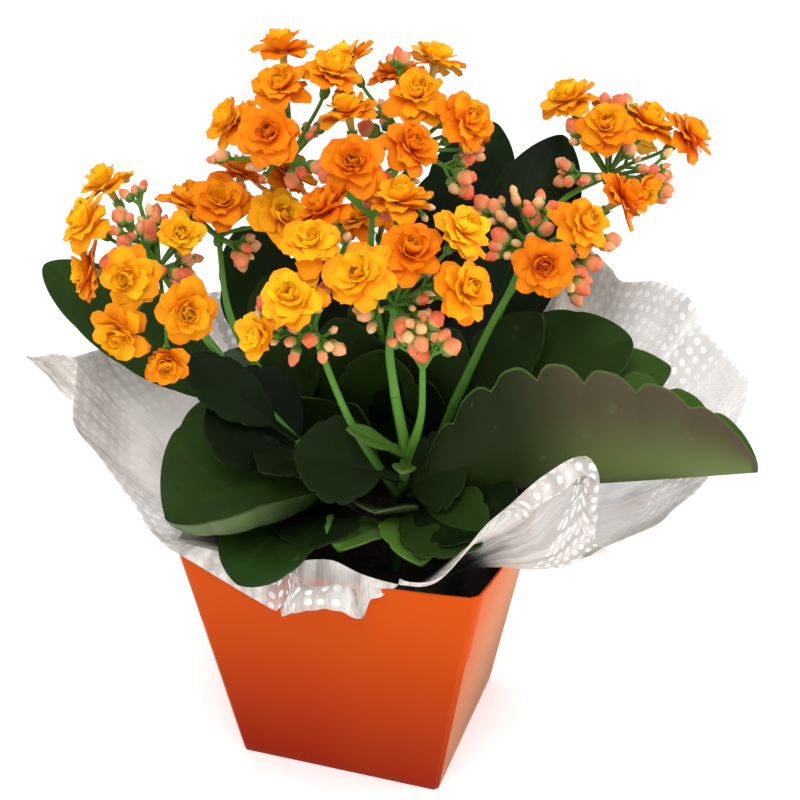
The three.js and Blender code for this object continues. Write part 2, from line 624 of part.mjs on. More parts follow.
// Reach and height of the film along one azimuth, from under the pot to its free edge.
function filmProfile([azimuth, reach, height, lift = 0]) {
  const quarter = ((((azimuth + 45) % 90) + 90) % 90) - 45;
  const wall = COVER_TOP / 2 / Math.cos(quarter * RADIANS);
  const rim = wall + COVER_BOW * (1 - (Math.tan(quarter * RADIANS)) ** 2);
  const floor = COVER_WALL + SEAT + FILM_THICKNESS / 2;
  const lip = POT_TOP_RADIUS + POT_LIP + FILM_PLAY + FILM_THICKNESS / 2;
  const neck = [lip, POT_FLOOR + POT_HEIGHT];
  const share = (rim - neck[0]) / Math.max(reach - neck[0], rim - neck[0]);
  const slope = neck[1] + share * (height - neck[1]);
  const crest = [rim + FILM_RIM_GAP, Math.max(COVER_HEIGHT + FILM_OVER_RIM + lift, slope)];
  const span = Math.hypot(reach - crest[0], height - crest[1]);
  const between = (t) => {
    const sag = (height < crest[1] ? FILM_ROLL : 1) * FILM_SAG * span * 4 * t * (1 - t);
    const straight = [THREE.MathUtils.lerp(crest[0], reach, t), THREE.MathUtils.lerp(crest[1], height, t)];
    return [straight[0] + FILM_SPREAD * sag, straight[1] - sag];
  };
  return [
    [POT_BASE_RADIUS + FILM_PLAY + FILM_THICKNESS / 2, floor],
    [lip, POT_FLOOR + POT_HEIGHT - POT_LIP_HEIGHT],
    neck, crest, ...FILM_STATIONS.map(between), [reach, height],
  ];
}

function wrapFilm() {
  const profiles = FILM_EDGE.map(filmProfile);
  const rows = profiles[0].map((_, k) => profiles.map((profile, i) => (
    heading(FILM_EDGE[i][0], 0).multiplyScalar(profile[k][0]).setZ(profile[k][1]))));
  const count = FILM_EDGE.length;
  const floor = rows[0][0].z;
  const at = (k, i) => (k < 0 ? point(0, 0, floor) : rows[k][(i + count) % count]);
  const offset = (k, i, distance) => {
    const here = at(k, i);
    const arrive = here.clone().sub(at(k - 1, i)).normalize();
    const leave = k + 1 < rows.length ? at(k + 1, i).clone().sub(here).normalize() : arrive;
    const up = arrive.clone().add(leave);
    const round = here.clone().sub(at(k, i - 1)).normalize().add(at(k, i + 1).clone().sub(here).normalize());
    const mitre = Math.min(MITRE_LIMIT, 4 / (up.length() * round.length()));
    return here.clone().addScaledVector(round.cross(up).normalize(), distance * mitre);
  };
  const skin = (distance) => rows.map((row, k) => row.map((_, i) => offset(k, i, distance)));
  const outer = skin(FILM_THICKNESS / 2);
  const inner = skin(-FILM_THICKNESS / 2);
  return loft([[point(0, 0, floor - FILM_THICKNESS / 2)], ...outer, ...inner.reverse(),
    [point(0, 0, floor + FILM_THICKNESS / 2)]], true);
}

// A round body from a closed outline of [radius, height], turned about the Z axis.
function turned(outline, sides) {
  const geometry = new THREE.LatheGeometry(outline.map(([r, z]) => new THREE.Vector2(r, z)), sides);
  return geometry.rotateX(Math.PI / 2);
}

const potRadius = (height) => {
  const share = (height - POT_FLOOR) / POT_HEIGHT;
  return THREE.MathUtils.lerp(POT_BASE_RADIUS, POT_TOP_RADIUS, share);
};

function nurseryPot() {
  const top = POT_FLOOR + POT_HEIGHT;
  const lip = top - POT_LIP_HEIGHT;
  return turned([
    [POT_DRAIN_RADIUS, POT_FLOOR], [POT_BASE_RADIUS, POT_FLOOR], [potRadius(lip), lip],
    [POT_TOP_RADIUS + POT_LIP, lip], [POT_TOP_RADIUS + POT_LIP, top], [POT_TOP_RADIUS + POT_LIP - POT_WALL, top],
    [potRadius(lip) - POT_WALL, lip], [POT_BASE_RADIUS - POT_WALL, POT_FLOOR + POT_WALL],
    [POT_DRAIN_RADIUS, POT_FLOOR + POT_WALL], [POT_DRAIN_RADIUS, POT_FLOOR],
  ], POT_SIDES);
}

// The soil, with a plain hole for the foot of each shoot.
function soil() {
  const floor = POT_FLOOR + POT_WALL + SEAT;
  const inside = (height) => potRadius(height) - POT_WALL - 1.5 * SEAT;
  let body = toSolid(turned([[0, floor], [inside(floor), floor], [inside(SOIL_TOP), SOIL_TOP],
    [0.6 * inside(SOIL_TOP), SOIL_TOP + 0.75 * SOIL_CROWN], [0, SOIL_TOP + SOIL_CROWN]], POT_SIDES));
  const holeRadius = STEM_RADIUS + STEM_PLAY;
  const holeFloor = STEM_FOOT - SEAT;
  const holeDepth = SOIL_TOP + 2 * SOIL_CROWN - holeFloor;
  for (const { route } of Object.values(SHOOTS)) {
    const [x, y] = route[0];
    const hole = new THREE.CylinderGeometry(holeRadius, holeRadius, holeDepth, 8)
      .rotateX(Math.PI / 2).translate(x, y, holeFloor + holeDepth / 2);
    body = body.subtract(toSolid(hole));
  }
  return toGeometry(body);
}

// ---------------------------------------------------------------- the group
const FINISHES = {
  card: { color: 0xd2560e, roughness: 0.55 },
  film: { color: 0xdcd6d2, roughness: 0.25 },
  plastic: { color: 0x151517, roughness: 0.5 },
  soil: { color: 0x33241a, roughness: 0.95 },
  leaf: { color: 0x27451f, roughness: 0.45 },
  petal: { color: 0xff9a10, roughness: 0.6 },
};
const BLOOM_TURN = 37;           // degrees that each bloom is turned on from the one before it
const group = new THREE.Group();

function add(name, geometry, finish) {
  const mesh = new THREE.Mesh(geometry, new THREE.MeshStandardMaterial({ ...FINISHES[finish], metalness: 0 }));
  mesh.name = name;
  group.add(mesh);
}

add('cover', cover(), 'card');
add('wrap_film', wrapFilm(), 'film');
add('nursery_pot', nurseryPot(), 'plastic');
add('soil', soil(), 'soil');
for (const name of Object.keys(SHOOTS)) add(`shoot_${name}`, shoot(name), 'leaf');
BLOOMS.forEach((flower, i) => add(flower.name, bloom({ ...flower, roll: BLOOM_TURN * i }), 'petal'));

export default group;
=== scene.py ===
"""A potted kalanchoe with double orange flowers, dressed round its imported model.

The tables and shape rules are in millimetres, in the model's frame: +Z up, the front wall of the cover
facing -Y, and the origin at the centre of its base. Meshes are turned into metres as they are made.
"""
import math
import random

import bpy
import numpy as np
from mathutils import Matrix, Vector


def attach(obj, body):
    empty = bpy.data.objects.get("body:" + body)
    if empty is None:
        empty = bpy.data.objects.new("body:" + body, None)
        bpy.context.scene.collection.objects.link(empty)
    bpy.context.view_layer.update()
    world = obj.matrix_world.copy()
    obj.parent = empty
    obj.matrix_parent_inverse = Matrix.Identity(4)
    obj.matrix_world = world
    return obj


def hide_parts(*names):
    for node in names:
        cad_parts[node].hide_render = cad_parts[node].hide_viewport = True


bl_info = {
    "name": "Potted kalanchoe",
    "version": (1, 0, 0),
    "blender": (4, 5, 0),
    "location": "View3D > Sidebar > Kalanchoe",
    "description": "Builds the leaves, blooms, buds, film, pots and stage of a potted kalanchoe",
    "category": "Object",
}

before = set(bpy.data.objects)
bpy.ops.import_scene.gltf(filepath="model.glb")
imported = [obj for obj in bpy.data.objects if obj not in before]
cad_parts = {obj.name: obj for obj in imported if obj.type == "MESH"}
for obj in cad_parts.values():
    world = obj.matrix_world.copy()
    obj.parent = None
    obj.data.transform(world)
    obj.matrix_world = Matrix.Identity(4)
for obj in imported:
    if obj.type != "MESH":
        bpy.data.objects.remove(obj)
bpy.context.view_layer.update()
BODY = "root"
MM = 0.001

# ---------------------------------------------------------------- driving dimensions, as in the model
# The cover, whose rim bows out between its corners, and the gap between two pieces that lie on each other.
COVER_BASE = 84
COVER_TOP = 120
COVER_HEIGHT = 103
COVER_WALL = 1.2
COVER_BOW = 4.5
SEAT = 0.3

# The film, its play round the pot, and where it crosses the cover's rim. Beyond that it sags by a share of
# its length, or where it falls, rolls up by a share of the sag, and the sag spreads it outwards too.
FILM_THICKNESS = 0.6
FILM_PLAY = 1.1
FILM_OVER_RIM = 3.2
FILM_RIM_GAP = 1.2
FILM_SAG = 0.07
FILM_ROLL = -0.35
FILM_SPREAD = 0.5

# The nursery pot and its soil.
POT_HEIGHT = 90
POT_BASE_RADIUS = 36
POT_TOP_RADIUS = 49
POT_WALL = 1.4
POT_LIP = 2
POT_LIP_HEIGHT = 8
POT_DRAIN_RADIUS = 5
POT_FLOOR = COVER_WALL + SEAT + FILM_THICKNESS + SEAT
POT_TOP = POT_FLOOR + POT_HEIGHT
SOIL_TOP = POT_FLOOR + 80
SOIL_CROWN = 2

# Stems, calyces, blooms and buds. Blooms turn towards the light, and are moved apart in rounds.
STEM_FOOT = 70
STALK_TAPER = 0.4
CALYX_LENGTH = 3.4
BLOOM_RADIUS = 10.5
BLOOM_TUBE = 6.5
BLOOM_SPACING = 20.5
BLOOM_DEPTH_WEIGHT = 2.0
SPACING_ROUNDS = 80
CLOSED_SIZE = 0.55
HALF_OPEN_LIFT = 55
BUD_LENGTH = 7
BUD_RADIUS = 2.1
LIGHT_AZIMUTH, LIGHT_ELEVATION = 15, 30
TURN_TO_LIGHT = 0.45

# Finer than in the model.
STEM_RADIUS = 2.4
STALK_RADIUS = 1.45
HUB_RADIUS = 1.9
PEDICEL_RADIUS = 0.7
CALYX_RADIUS = 2.1

# Each flower head: the shoot that carries it, its hub, and round the hub its blooms as (azimuth, elevation,
# reach, openness) and its sprays of buds as (azimuth, elevation, reach, count). A bloom with no openness in
# the table is fully open.
HEADS = {
    "left": {
        "shoot": "front_left", "hub": (-74, -32, 203),
        "blooms": [(-70, 35, 30), (-115, 42, 38), (0, 10, 22), (-75, -5, 25), (-5, -30, 31), (40, -3, 40),
                   (28, -28, 44, 0.45), (55, 45, 24, 0.5), (150, 55, 26)],
        "sprays": [(-60, 70, 18, 3), (20, 85, 22, 4), (70, 10, 16, 3), (-40, -20, 16, 2), (150, 5, 18, 3)],
    },
    "middle": {
        "shoot": "left", "hub": (-60, -9, 210),
        "blooms": [(30, 50, 23), (75, 25, 32), (110, 43, 36), (170, 50, 26)],
        "sprays": [(-80, 45, 18, 4), (-150, 35, 18, 3), (80, -20, 18, 3)],
    },
    "top_left": {
        "shoot": "back", "hub": (-31, -5, 243),
        "blooms": [(-150, 60, 40), (-80, 30, 24), (5, 30, 28), (10, 80, 27), (100, 68, 32)],
        "sprays": [(-40, -10, 16, 3), (180, 25, 20, 4)],
    },
    "top_front": {
        "shoot": "back", "hub": (0, -12, 235),
        "blooms": [(-130, 65, 28), (8, 33, 27), (75, 45, 26)],
        "sprays": [(-50, 25, 18, 3), (40, 10, 20, 3)],
    },
    "top_right": {
        "shoot": "back", "hub": (9, 13, 245),
        "blooms": [(-107, 45, 40), (-145, 60, 28), (40, 75, 21), (178, 45, 38), (75, 30, 27), (150, 5, 28)],
        "sprays": [(80, -15, 26, 5), (-110, 15, 18, 3), (120, 40, 22, 3)],
    },
    "front_right": {
        "shoot": "front_right", "hub": (22, -44, 205),
        "blooms": [(-92, 52, 40), (-170, 75, 35), (-15, 40, 30), (35, 60, 26), (94, 50, 35), (70, 24, 31)],
        "sprays": [(45, -20, 22, 5), (-20, 5, 18, 3), (130, 25, 20, 3)],
    },
    "front_left": {
        "shoot": "front_right", "hub": (-4, -56, 197),
        "blooms": [(35, 74, 33), (-5, 42, 23), (-28, 12, 22, 0.45)],
        "sprays": [(-80, 20, 18, 4), (40, 0, 18, 4), (-100, 60, 20, 2)],
    },
    "right": {
        "shoot": "right", "hub": (60, 10, 212),
        "blooms": [(72, 38, 22), (18, 8, 25), (123, 30, 36)],
        "sprays": [(-80, 40, 26, 4), (-45, 15, 20, 4), (60, -20, 24, 4), (0, 80, 22, 4), (150, 0, 22, 3)],
    },
    "back": {
        "shoot": "right", "hub": (76, 58, 230),
        "blooms": [(-98, 58, 32), (2, 58, 25), (120, 54, 24), (118, 25, 34), (60, -10, 16, 0.45),
                   (170, 20, 26)],
        "sprays": [(-70, 5, 20, 4), (100, -10, 24, 5), (180, 70, 20, 3)],
    },
    "rear": {
        "shoot": "back", "hub": (-22, 58, 178),
        "blooms": [(-120, 40, 22), (-175, 50, 24), (80, 45, 24), (-60, 80, 24)],
        "sprays": [(180, 0, 20, 4), (-90, 0, 20, 3)],
    },
}

# More sprays of buds than the model has, round the hub of each head, and round a knot beside one of them.
MORE_SPRAYS = {
    "left": [(-70, 56, 25, 3), (-53, 29, 19, 2), (-79, 84, 23, 2), (29, 17, 16, 2), (77, 21, 17, 2),
             (-101, 73, 34, 2)],
    "middle": [(-49, 41, 17, 2), (99, 65, 21, 2), (69, -5, 17, 2)],
    "top_left": [(-55, 2, 31, 2), (81, 51, 18, 2), (110, 48, 33, 2), (36, -10, 16, 2), (-121, 83, 28, 1)],
    "top_front": [(92, 25, 23, 2), (85, -6, 29, 2)],
    "top_right": [(-122, 78, 36, 2), (88, 6, 28, 3), (76, -14, 24, 2), (-65, 59, 22, 2)],
    "front_right": [(66, 23, 15, 2), (50, -12, 16, 2), (-154, 87, 25, 1), (-50, 65, 17, 2)],
    "front_left": [(-43, 4, 19, 2), (-59, 33, 22, 2), (-17, -3, 15, 2), (60, 68, 15, 2), (130, 68, 37, 1)],
    "right": [(-75, 66, 26, 2), (-60, 45, 21, 1), (-7, 70, 16, 2), (-26, 26, 15, 2), (62, -11, 17, 2),
              (94, 14, 29, 2), (79, -1, 21, 2)],
    "back": [(-69, 53, 25, 3), (-29, 4, 15, 2), (79, 35, 17, 2), (82, 5, 21, 3), (92, 15, 26, 2),
             (118, 65, 30, 2), (-127, 81, 31, 2)],
    "rear": [],
}
SIDE_KNOTS = {"front_right": ((35, -52, 186), [(20, 85, 22, 3), (-60, 60, 16, 2), (80, 60, 16, 2)])}

# The shoots: the stem's route up from the soil, stalks on to the heads, and leaves. Of a leaf, at is its
# place along the stem, face is where its upper side looks, arch lifts its middle, and fold lifts its halves
# in degrees. lobes and depth are its scallops, stalk the share of it that is stalk, and peak moves its widest
# place to the tip. wide widens and curl lifts its (left, right) half. fresh is how light a green it is, ruddy
# how brown its underside is, and dim how much it is in the shade.
SHOOTS = {
    "front_left": {
        "route": [(-10, -15, STEM_FOOT), (-10, -16, 112), (-20, -21, 130), (-42, -27, 157)],
        "stalks": [[(-42, -27, 157), (-57, -31, 178), (-74, -32, 203)]],
        "leaves": [
            dict(at=0.52, tip=(-66, -54, 112), width=66, face=(-0.1, -0.5, 0.85), arch=4, fold=18, depth=0.05,
                 curl=(0.4, 0), stalk=0.06, peak=0.95, wide=(1.45, 1.3), ruddy=0),
            dict(at=0.42, tip=(-28, -54, 107), width=34, face=(-0.1, -0.35, 0.93), arch=3, dim=0.3),
            dict(at=0.58, tip=(-56, -30, 154), width=48, face=(0.25, -0.62, 0.74), arch=2, dim=0.7),
        ],
    },
    "front_right": {
        "route": [(14, -16, STEM_FOOT), (16, -20, 112), (24, -34, 140), (22, -42, 170)],
        "stalks": [
            [(22, -42, 170), (20, -43, 188), (22, -44, 205)],
            [(18, -26, 122), (6, -46, 160), (-4, -56, 197)],
            [(24, -34, 140), (33, -46, 165), (35, -52, 186)],
        ],
        "leaves": [
            dict(at=0.52, tip=(150, -26, 154), width=76, face=(0, 0.42, 0.9), arch=-0.5, fold=56, lobes=7,
                 depth=0.14, stalk=0.08, peak=0.98, wide=(1.35, 1.3), ruddy=1, fresh=0.3),
            dict(at=0.45, tip=(68, -42, 126), width=42, face=(0.1, -0.5, 0.85), arch=2, dim=0.3),
            dict(at=0.6, tip=(-14, -50, 145), width=35, face=(-0.2, -0.75, 0.63), arch=1, dim=0.85),
            dict(at=0.3, tip=(6, -58, 112), width=28, face=(0, -0.1, 1), arch=4, fold=20, fresh=0.6),
            dict(at=0.38, tip=(38, -58, 112), width=26, face=(0, -0.1, 1), arch=3, fold=20, fresh=0.5),
        ],
    },
    "right": {
        "route": [(18, 12, STEM_FOOT), (20, 8, 112), (32, 2, 150)],
        "stalks": [
            [(32, 2, 150), (48, 5, 190), (60, 10, 212)],
            [(21, 8, 118), (40, 34, 175), (58, 54, 218), (76, 58, 230)],
        ],
        "leaves": [
            dict(at=0.84, tip=(96, 22, 177), width=46, face=(-0.26, -0.64, 0.72), arch=5, depth=0.04,
                 dim=0.6),
            dict(at=0.56, tip=(110, 34, 163), width=42, face=(-0.1, -0.5, 0.86), arch=6, depth=0.2,
                 fresh=0.2),
            dict(at=0.66, tip=(54, 76, 240), width=48, face=(-0.1, -0.8, 0.6), arch=-3, dim=0.4),
            dict(at=0.46, tip=(70, 60, 146), width=42, face=(-0.2, 0.1, 1), arch=8),
        ],
    },
    "left": {
        "route": [(-16, 12, STEM_FOOT), (-18, 9, 112), (-40, -6, 147)],
        "stalks": [[(-40, -6, 147), (-56, -9, 178), (-60, -9, 210)]],
        "leaves": [
            dict(at=0.6, tip=(-140, -4, 188), width=40, face=(0.4, -0.5, 0.77), arch=-6, depth=0.03,
                 stalk=0.3),
            dict(at=0.64, tip=(-68, 30, 202), width=40, face=(0.15, -0.93, 0.33), arch=-3, dim=0.3),
            dict(at=0.54, tip=(-50, 52, 186), width=38, face=(0.1, -0.9, 0.4), arch=-3, dim=0.3),
            dict(at=0.5, tip=(-54, 0, 148), width=44, face=(0.3, -0.6, 0.75), arch=3, dim=0.5),
            dict(at=0.46, tip=(-78, 42, 142), width=44, face=(0.2, 0, 1), arch=8),
        ],
    },
    "back": {
        "route": [(2, 20, STEM_FOOT), (2, 20, 112), (0, 17, 150)],
        "stalks": [
            [(0, 17, 150), (-4, 8, 200), (-2, 2, 222)],
            [(-2, 2, 222), (-18, -2, 236), (-31, -5, 243)],
            [(-2, 2, 222), (-1, -5, 229), (0, -12, 235)],
            [(-2, 2, 222), (4, 8, 236), (9, 13, 245)],
            [(2, 20, 122), (-10, 42, 154), (-22, 58, 178)],
        ],
        "leaves": [
            dict(at=0.72, tip=(20, 96, 238), width=48, face=(0, -0.8, 0.6), arch=-3, dim=0.4),
            dict(at=0.62, tip=(2, 2, 168), width=36, face=(0, -0.92, 0.4), arch=2),
            dict(at=0.4, tip=(4, 7, 143), width=36, face=(0, -0.92, 0.4), arch=1),
            dict(at=0.5, tip=(26, 76, 140), width=44, face=(0, -0.1, 1), arch=8),
            dict(at=0.56, tip=(-32, 74, 144), width=42, face=(0, -0.1, 1), arch=8),
        ],
    },
}

# Smaller leaves between the stems, and bracts on the stalks, too fine for the model.
INNER_LEAVES = {
    "front_left": [
        dict(at=0.46, tip=(-14, -38, 128), width=30, face=(-0.1, -0.7, 0.7), arch=3, dim=0.5),
        dict(at=0.62, tip=(-30, -44, 132), width=24, face=(-0.2, -0.7, 0.7), arch=2, dim=0.5),
        dict(at=0.3, tip=(-27, -74, 100), width=38, face=(-0.1, -0.6, 0.8), arch=15, fold=4, depth=0.04),
        dict(at=0.4, tip=(-4, -60, 112), width=34, face=(0, -0.7, 0.7), arch=6, fold=4, dim=0.5),
        dict(at=0.72, tip=(-62, -38, 172), width=22, face=(0.2, -0.8, 0.5), arch=1, dim=0.5),
    ],
    "front_right": [
        dict(at=0.5, tip=(46, -28, 140), width=32, face=(0.2, -0.7, 0.7), arch=3, dim=0.5),
        dict(at=0.36, tip=(16, -46, 124), width=30, face=(0, -0.6, 0.8), arch=2, dim=0.5),
        dict(at=0.42, tip=(58, -52, 120), width=36, face=(0.1, -0.6, 0.8), arch=4, dim=0.5),
        dict(at=0.68, tip=(30, -58, 148), width=9, face=(0.2, -0.5, 0.8), arch=1, depth=0, fresh=0.35),
        dict(at=0.74, tip=(8, -54, 160), width=8, face=(-0.2, -0.6, 0.7), arch=1, depth=0, fresh=0.35),
    ],
    "right": [
        dict(at=0.6, tip=(56, 0, 146), width=36, face=(0, -0.8, 0.6), arch=3, dim=0.5),
        dict(at=0.5, tip=(34, -10, 136), width=30, face=(0.1, -0.9, 0.4), arch=2, dim=0.5),
        dict(at=0.7, tip=(62, 14, 186), width=30, face=(-0.3, -0.9, 0.3), arch=1, dim=0.5),
        dict(at=0.4, tip=(64, -24, 128), width=36, face=(0.1, -0.7, 0.7), arch=3, dim=0.5),
    ],
    "left": [
        dict(at=0.56, tip=(-28, -14, 150), width=34, face=(0.1, -0.9, 0.4), arch=2, dim=0.5),
        dict(at=0.5, tip=(-6, -4, 146), width=34, face=(0, -0.95, 0.3), arch=2, dim=0.5),
        dict(at=0.7, tip=(-46, 4, 192), width=30, face=(0.3, -0.9, 0.3), arch=1, dim=0.5),
        dict(at=0.44, tip=(-48, -20, 136), width=34, face=(0.1, -0.8, 0.5), arch=3, dim=0.5),
    ],
    "back": [
        dict(at=0.5, tip=(22, 4, 156), width=38, face=(0.1, -0.95, 0.3), arch=2, dim=0.5),
        dict(at=0.66, tip=(-20, 8, 176), width=38, face=(0, -0.95, 0.3), arch=2, dim=0.5),
        dict(at=0.7, tip=(30, 12, 176), width=36, face=(0.1, -0.95, 0.3), arch=2, dim=0.5),
        dict(at=0.8, tip=(-2, 14, 198), width=30, face=(0.1, -0.95, 0.3), arch=1, dim=0.5),
    ],
}

# What a leaf has where its line doesn't say.
PLAIN_LEAF = dict(arch=6, fold=14, lobes=4, depth=0.10, stalk=0.2, peak=1.12, wide=(1, 1), curl=(0, 0),
                  ruddy=0.3, dim=0)

# The film's free edge, round the plant: (azimuth, reach, height, lift over the cover's rim).
FILM_EDGE = [
    (-172, 116, 172), (-158, 106, 164), (-144, 112, 170), (-129, 106, 158), (-114, 112, 158),
    (-100, 120, 148), (-87, 142, 153), (-76, 124, 148), (-64, 112, 138), (-54, 96, 118), (-45, 90, 108),
    (-35, 80, 102), (-22, 70, 92), (-7, 68, 88, 3), (5, 70, 90, 6), (15, 67, 95, 2), (25, 70, 105),
    (35, 83, 114), (44, 96, 142), (51, 124, 174), (56, 112, 134), (64, 118, 128), (75, 126, 137),
    (86, 135, 149), (97, 141, 164), (108, 139, 162), (117, 130, 172), (126, 126, 181), (136, 114, 178),
    (146, 119, 186), (156, 106, 172), (170, 112, 168),
]

# Where the film's edge curls over: (azimuth of the middle, half the width in degrees, length, radius, and the
# share of the film beyond its crest that is kept before the curl). Elsewhere the curl is short and wide.
FILM_CURLS = [(4, 17, 46, 5.5, 0.6), (50, 8, 24, 4.5, 1.0)]
PLAIN_CURL_LENGTH = 2.0
PLAIN_CURL_RADIUS = 9.0
CURL_TIGHTENING = 0.45

# Where it lies over itself in pleats: (azimuth of the middle, half the width in degrees, depth).
FILM_PLEATS = [(-84, 17, 0.5), (62, 8, 0.5), (86, 9, 0.5), (118, 12, 0.55), (150, 11, 0.6), (178, 12, 0.6),
               (-152, 12, 0.6), (-122, 10, 0.6)]
PLEAT_GAP = 2.0

# Where it is clear but for a band along its edge: (azimuth of the middle, half the width in degrees).
FILM_CLEAR = (26, 18)
FILM_EDGE_BAND = 16

# Where its print has faded and it is milky, and where painted light brightens it most: (azimuth of the
# middle, half the width in degrees).
FILM_FADES = [(-88, 44), (-32, 22), (28, 26), (70, 12), (150, 27)]

# Its grid: columns round the plant, rows up the pot, rows from each station on to the next, and rows round
# the curl. It leaves the pot at the neck, crosses the rim at the crest, and is unrolled along one row.
FILM_COLUMNS = 640
FILM_LOW_ROWS = 5
FILM_STEPS = 7
CURL_STEPS = 22
NECK_ROW = FILM_LOW_ROWS + FILM_STEPS
CREST_ROW = FILM_LOW_ROWS + 2 * FILM_STEPS
UNROLLED_ROW = -8


# ---------------------------------------------------------------- directions and lines
def vector(*values):
    return np.array(values, float)


def unit(v):
    return v / np.linalg.norm(v, axis=-1, keepdims=True)


def heading(azimuth, elevation):
    """A direction. Azimuth 0 is the front (-Y) and 90 the right (+X)."""
    a, e = math.radians(azimuth), math.radians(elevation)
    return vector(math.sin(a) * math.cos(e), -math.cos(a) * math.cos(e), math.sin(e))


def mix(a, b, t):
    return a + (b - a) * t


def smooth(t):
    t = np.clip(t, 0, 1)
    return t * t * (3 - 2 * t)


def crossways(axis, roll=0.0):
    """Two directions that stand square to an axis and to each other, the first turned by roll degrees."""
    helper = vector(1, 0, 0) if abs(axis[2]) > 0.9 else vector(0, 0, 1)
    across = unit(np.cross(helper, axis))
    along = np.cross(axis, across)
    a = math.radians(roll)
    first = across * math.cos(a) + along * math.sin(a)
    return first, np.cross(axis, first)


def route_point(route, t):
    """The point at a share t of a smooth curve through the route's points."""
    points = [vector(*p) for p in route]
    points = [2 * points[0] - points[1], *points, 2 * points[-1] - points[-2]]
    place = min(max(t, 0.0), 1.0) * (len(route) - 1)
    k = min(int(place), len(route) - 2)
    p = points[k:k + 4]
    gaps = [np.linalg.norm(p[i + 1] - p[i]) ** 0.5 for i in range(3)]

    def slope(i):
        g, h = gaps[i], gaps[i + 1]
        return ((p[i + 1] - p[i]) / g - (p[i + 2] - p[i]) / (g + h) + (p[i + 2] - p[i + 1]) / h) * gaps[1]

    leave, arrive = slope(0), slope(1)
    w = place - k
    bend = 3 * (p[2] - p[1]) - 2 * leave - arrive
    return p[1] + leave * w + bend * w ** 2 + (2 * (p[1] - p[2]) + leave + arrive) * w ** 3


def walk(route, shares):
    """Points at even shares of the length of a smooth curve through the route's points."""
    fine = np.array([route_point(route, t) for t in np.linspace(0, 1, 97)])
    gone = np.concatenate([[0], np.cumsum(np.linalg.norm(np.diff(fine, axis=0), axis=1))])
    places = np.asarray(shares) * gone[-1]
    return np.stack([np.interp(places, gone, fine[:, k]) for k in range(3)], axis=-1)


def bent_line(start, end, leave, arrive, steps):
    """Points along a curve that leaves and arrives in the given directions."""
    t = np.linspace(0, 1, steps + 1)[:, None]
    pull = np.linalg.norm(end - start)
    return (start * (2 * t ** 3 - 3 * t ** 2 + 1) + end * (3 * t ** 2 - 2 * t ** 3)
            + leave * pull * (t ** 3 - 2 * t ** 2 + t) + arrive * pull * (t ** 3 - t ** 2))


def through(values, samples):
    """A smooth periodic line through evenly numbered values, at the given places along them."""
    values = np.asarray(values, float)
    count = len(values)
    k = np.floor(samples).astype(int)
    w = (samples - k)[:, None]
    a, b, c, d = (values[(k + i) % count] for i in (-1, 0, 1, 2))
    return b + 0.5 * w * (c - a + w * (2 * a - 5 * b + 4 * c - d + w * (3 * (b - c) + d - a)))


def full_turn(sides):
    """Even angles all round."""
    return np.linspace(0, math.tau, sides, endpoint=False)


def level_ring(radius, height, sides):
    """Points round the upright axis, at one height or at a height each."""
    turns = full_turn(sides)
    return np.stack([radius * np.cos(turns), radius * np.sin(turns), np.broadcast_to(height, sides)], axis=-1)


# ---------------------------------------------------------------- meshes
def new_mesh(name, points, faces):
    """A mesh of points in millimetres."""
    mesh = bpy.data.meshes.new(name)
    mesh.from_pydata((np.asarray(points) * MM).tolist(), [], faces)
    return mesh


def give_values(mesh, name, values, kind="FLOAT", field="value"):
    """Gives each point of a mesh a value of its own."""
    layer = mesh.attributes.new(name, kind, "POINT")
    layer.data.foreach_set(field, np.ravel(values).astype(np.int32 if kind == "INT" else np.float32))


def show(name, data):
    """A mesh, light or camera as an object in the scene."""
    piece = bpy.data.objects.new(name, data)
    bpy.context.scene.collection.objects.link(piece)
    return piece


def quads(index, closed=False):
    """The faces of a grid of point numbers, closed round its columns or not."""
    if closed:
        index = np.concatenate([index, index[:, :1]], axis=1)
    return np.stack([index[:-1, :-1], index[:-1, 1:], index[1:, 1:], index[1:, :-1]], axis=-1).reshape(-1, 4)


class Solid:
    """Points, faces, and values for each point, gathered into one mesh."""

    def __init__(self, *names):
        self.points, self.faces, self.slots, self.count = [], [], [], 0
        self.values = {name: [] for name in names}

    def add(self, points, faces, slot=0, **values):
        points = np.reshape(points, (-1, 3))
        if volume(points, faces) < 0:
            faces = [face[::-1] for face in faces]
        self.points.append(points)
        self.faces += [[int(i) + self.count for i in face] for face in faces]
        self.slots += [slot] * len(faces)
        self.count += len(points)
        for name, gathered in self.values.items():
            gathered.append(np.broadcast_to(np.ravel(values.get(name, 0.0)), len(points)))

    def piece(self, name, *materials, sharp=None):
        mesh = new_mesh(name, np.concatenate(self.points), self.faces)
        for material in materials:
            mesh.materials.append(material)
        mesh.polygons.foreach_set("material_index", self.slots)
        mesh.polygons.foreach_set("use_smooth", [True] * len(mesh.polygons))
        if sharp:
            mesh.set_sharp_from_angle(angle=math.radians(sharp))
        for key, gathered in self.values.items():
            give_values(mesh, key, np.concatenate(gathered))
        mesh.update()
        return show(name, mesh)


def volume(points, faces):
    """Above 0 where most faces of a closed body point out."""
    total = 0.0
    for face in faces:
        for i in range(1, len(face) - 1):
            a, b, c = points[face[0]], points[face[i]], points[face[i + 1]]
            total += a[0] * (b[1] * c[2] - b[2] * c[1]) + a[1] * (b[2] * c[0] - b[0] * c[2]) \
                + a[2] * (b[0] * c[1] - b[1] * c[0])
    return total


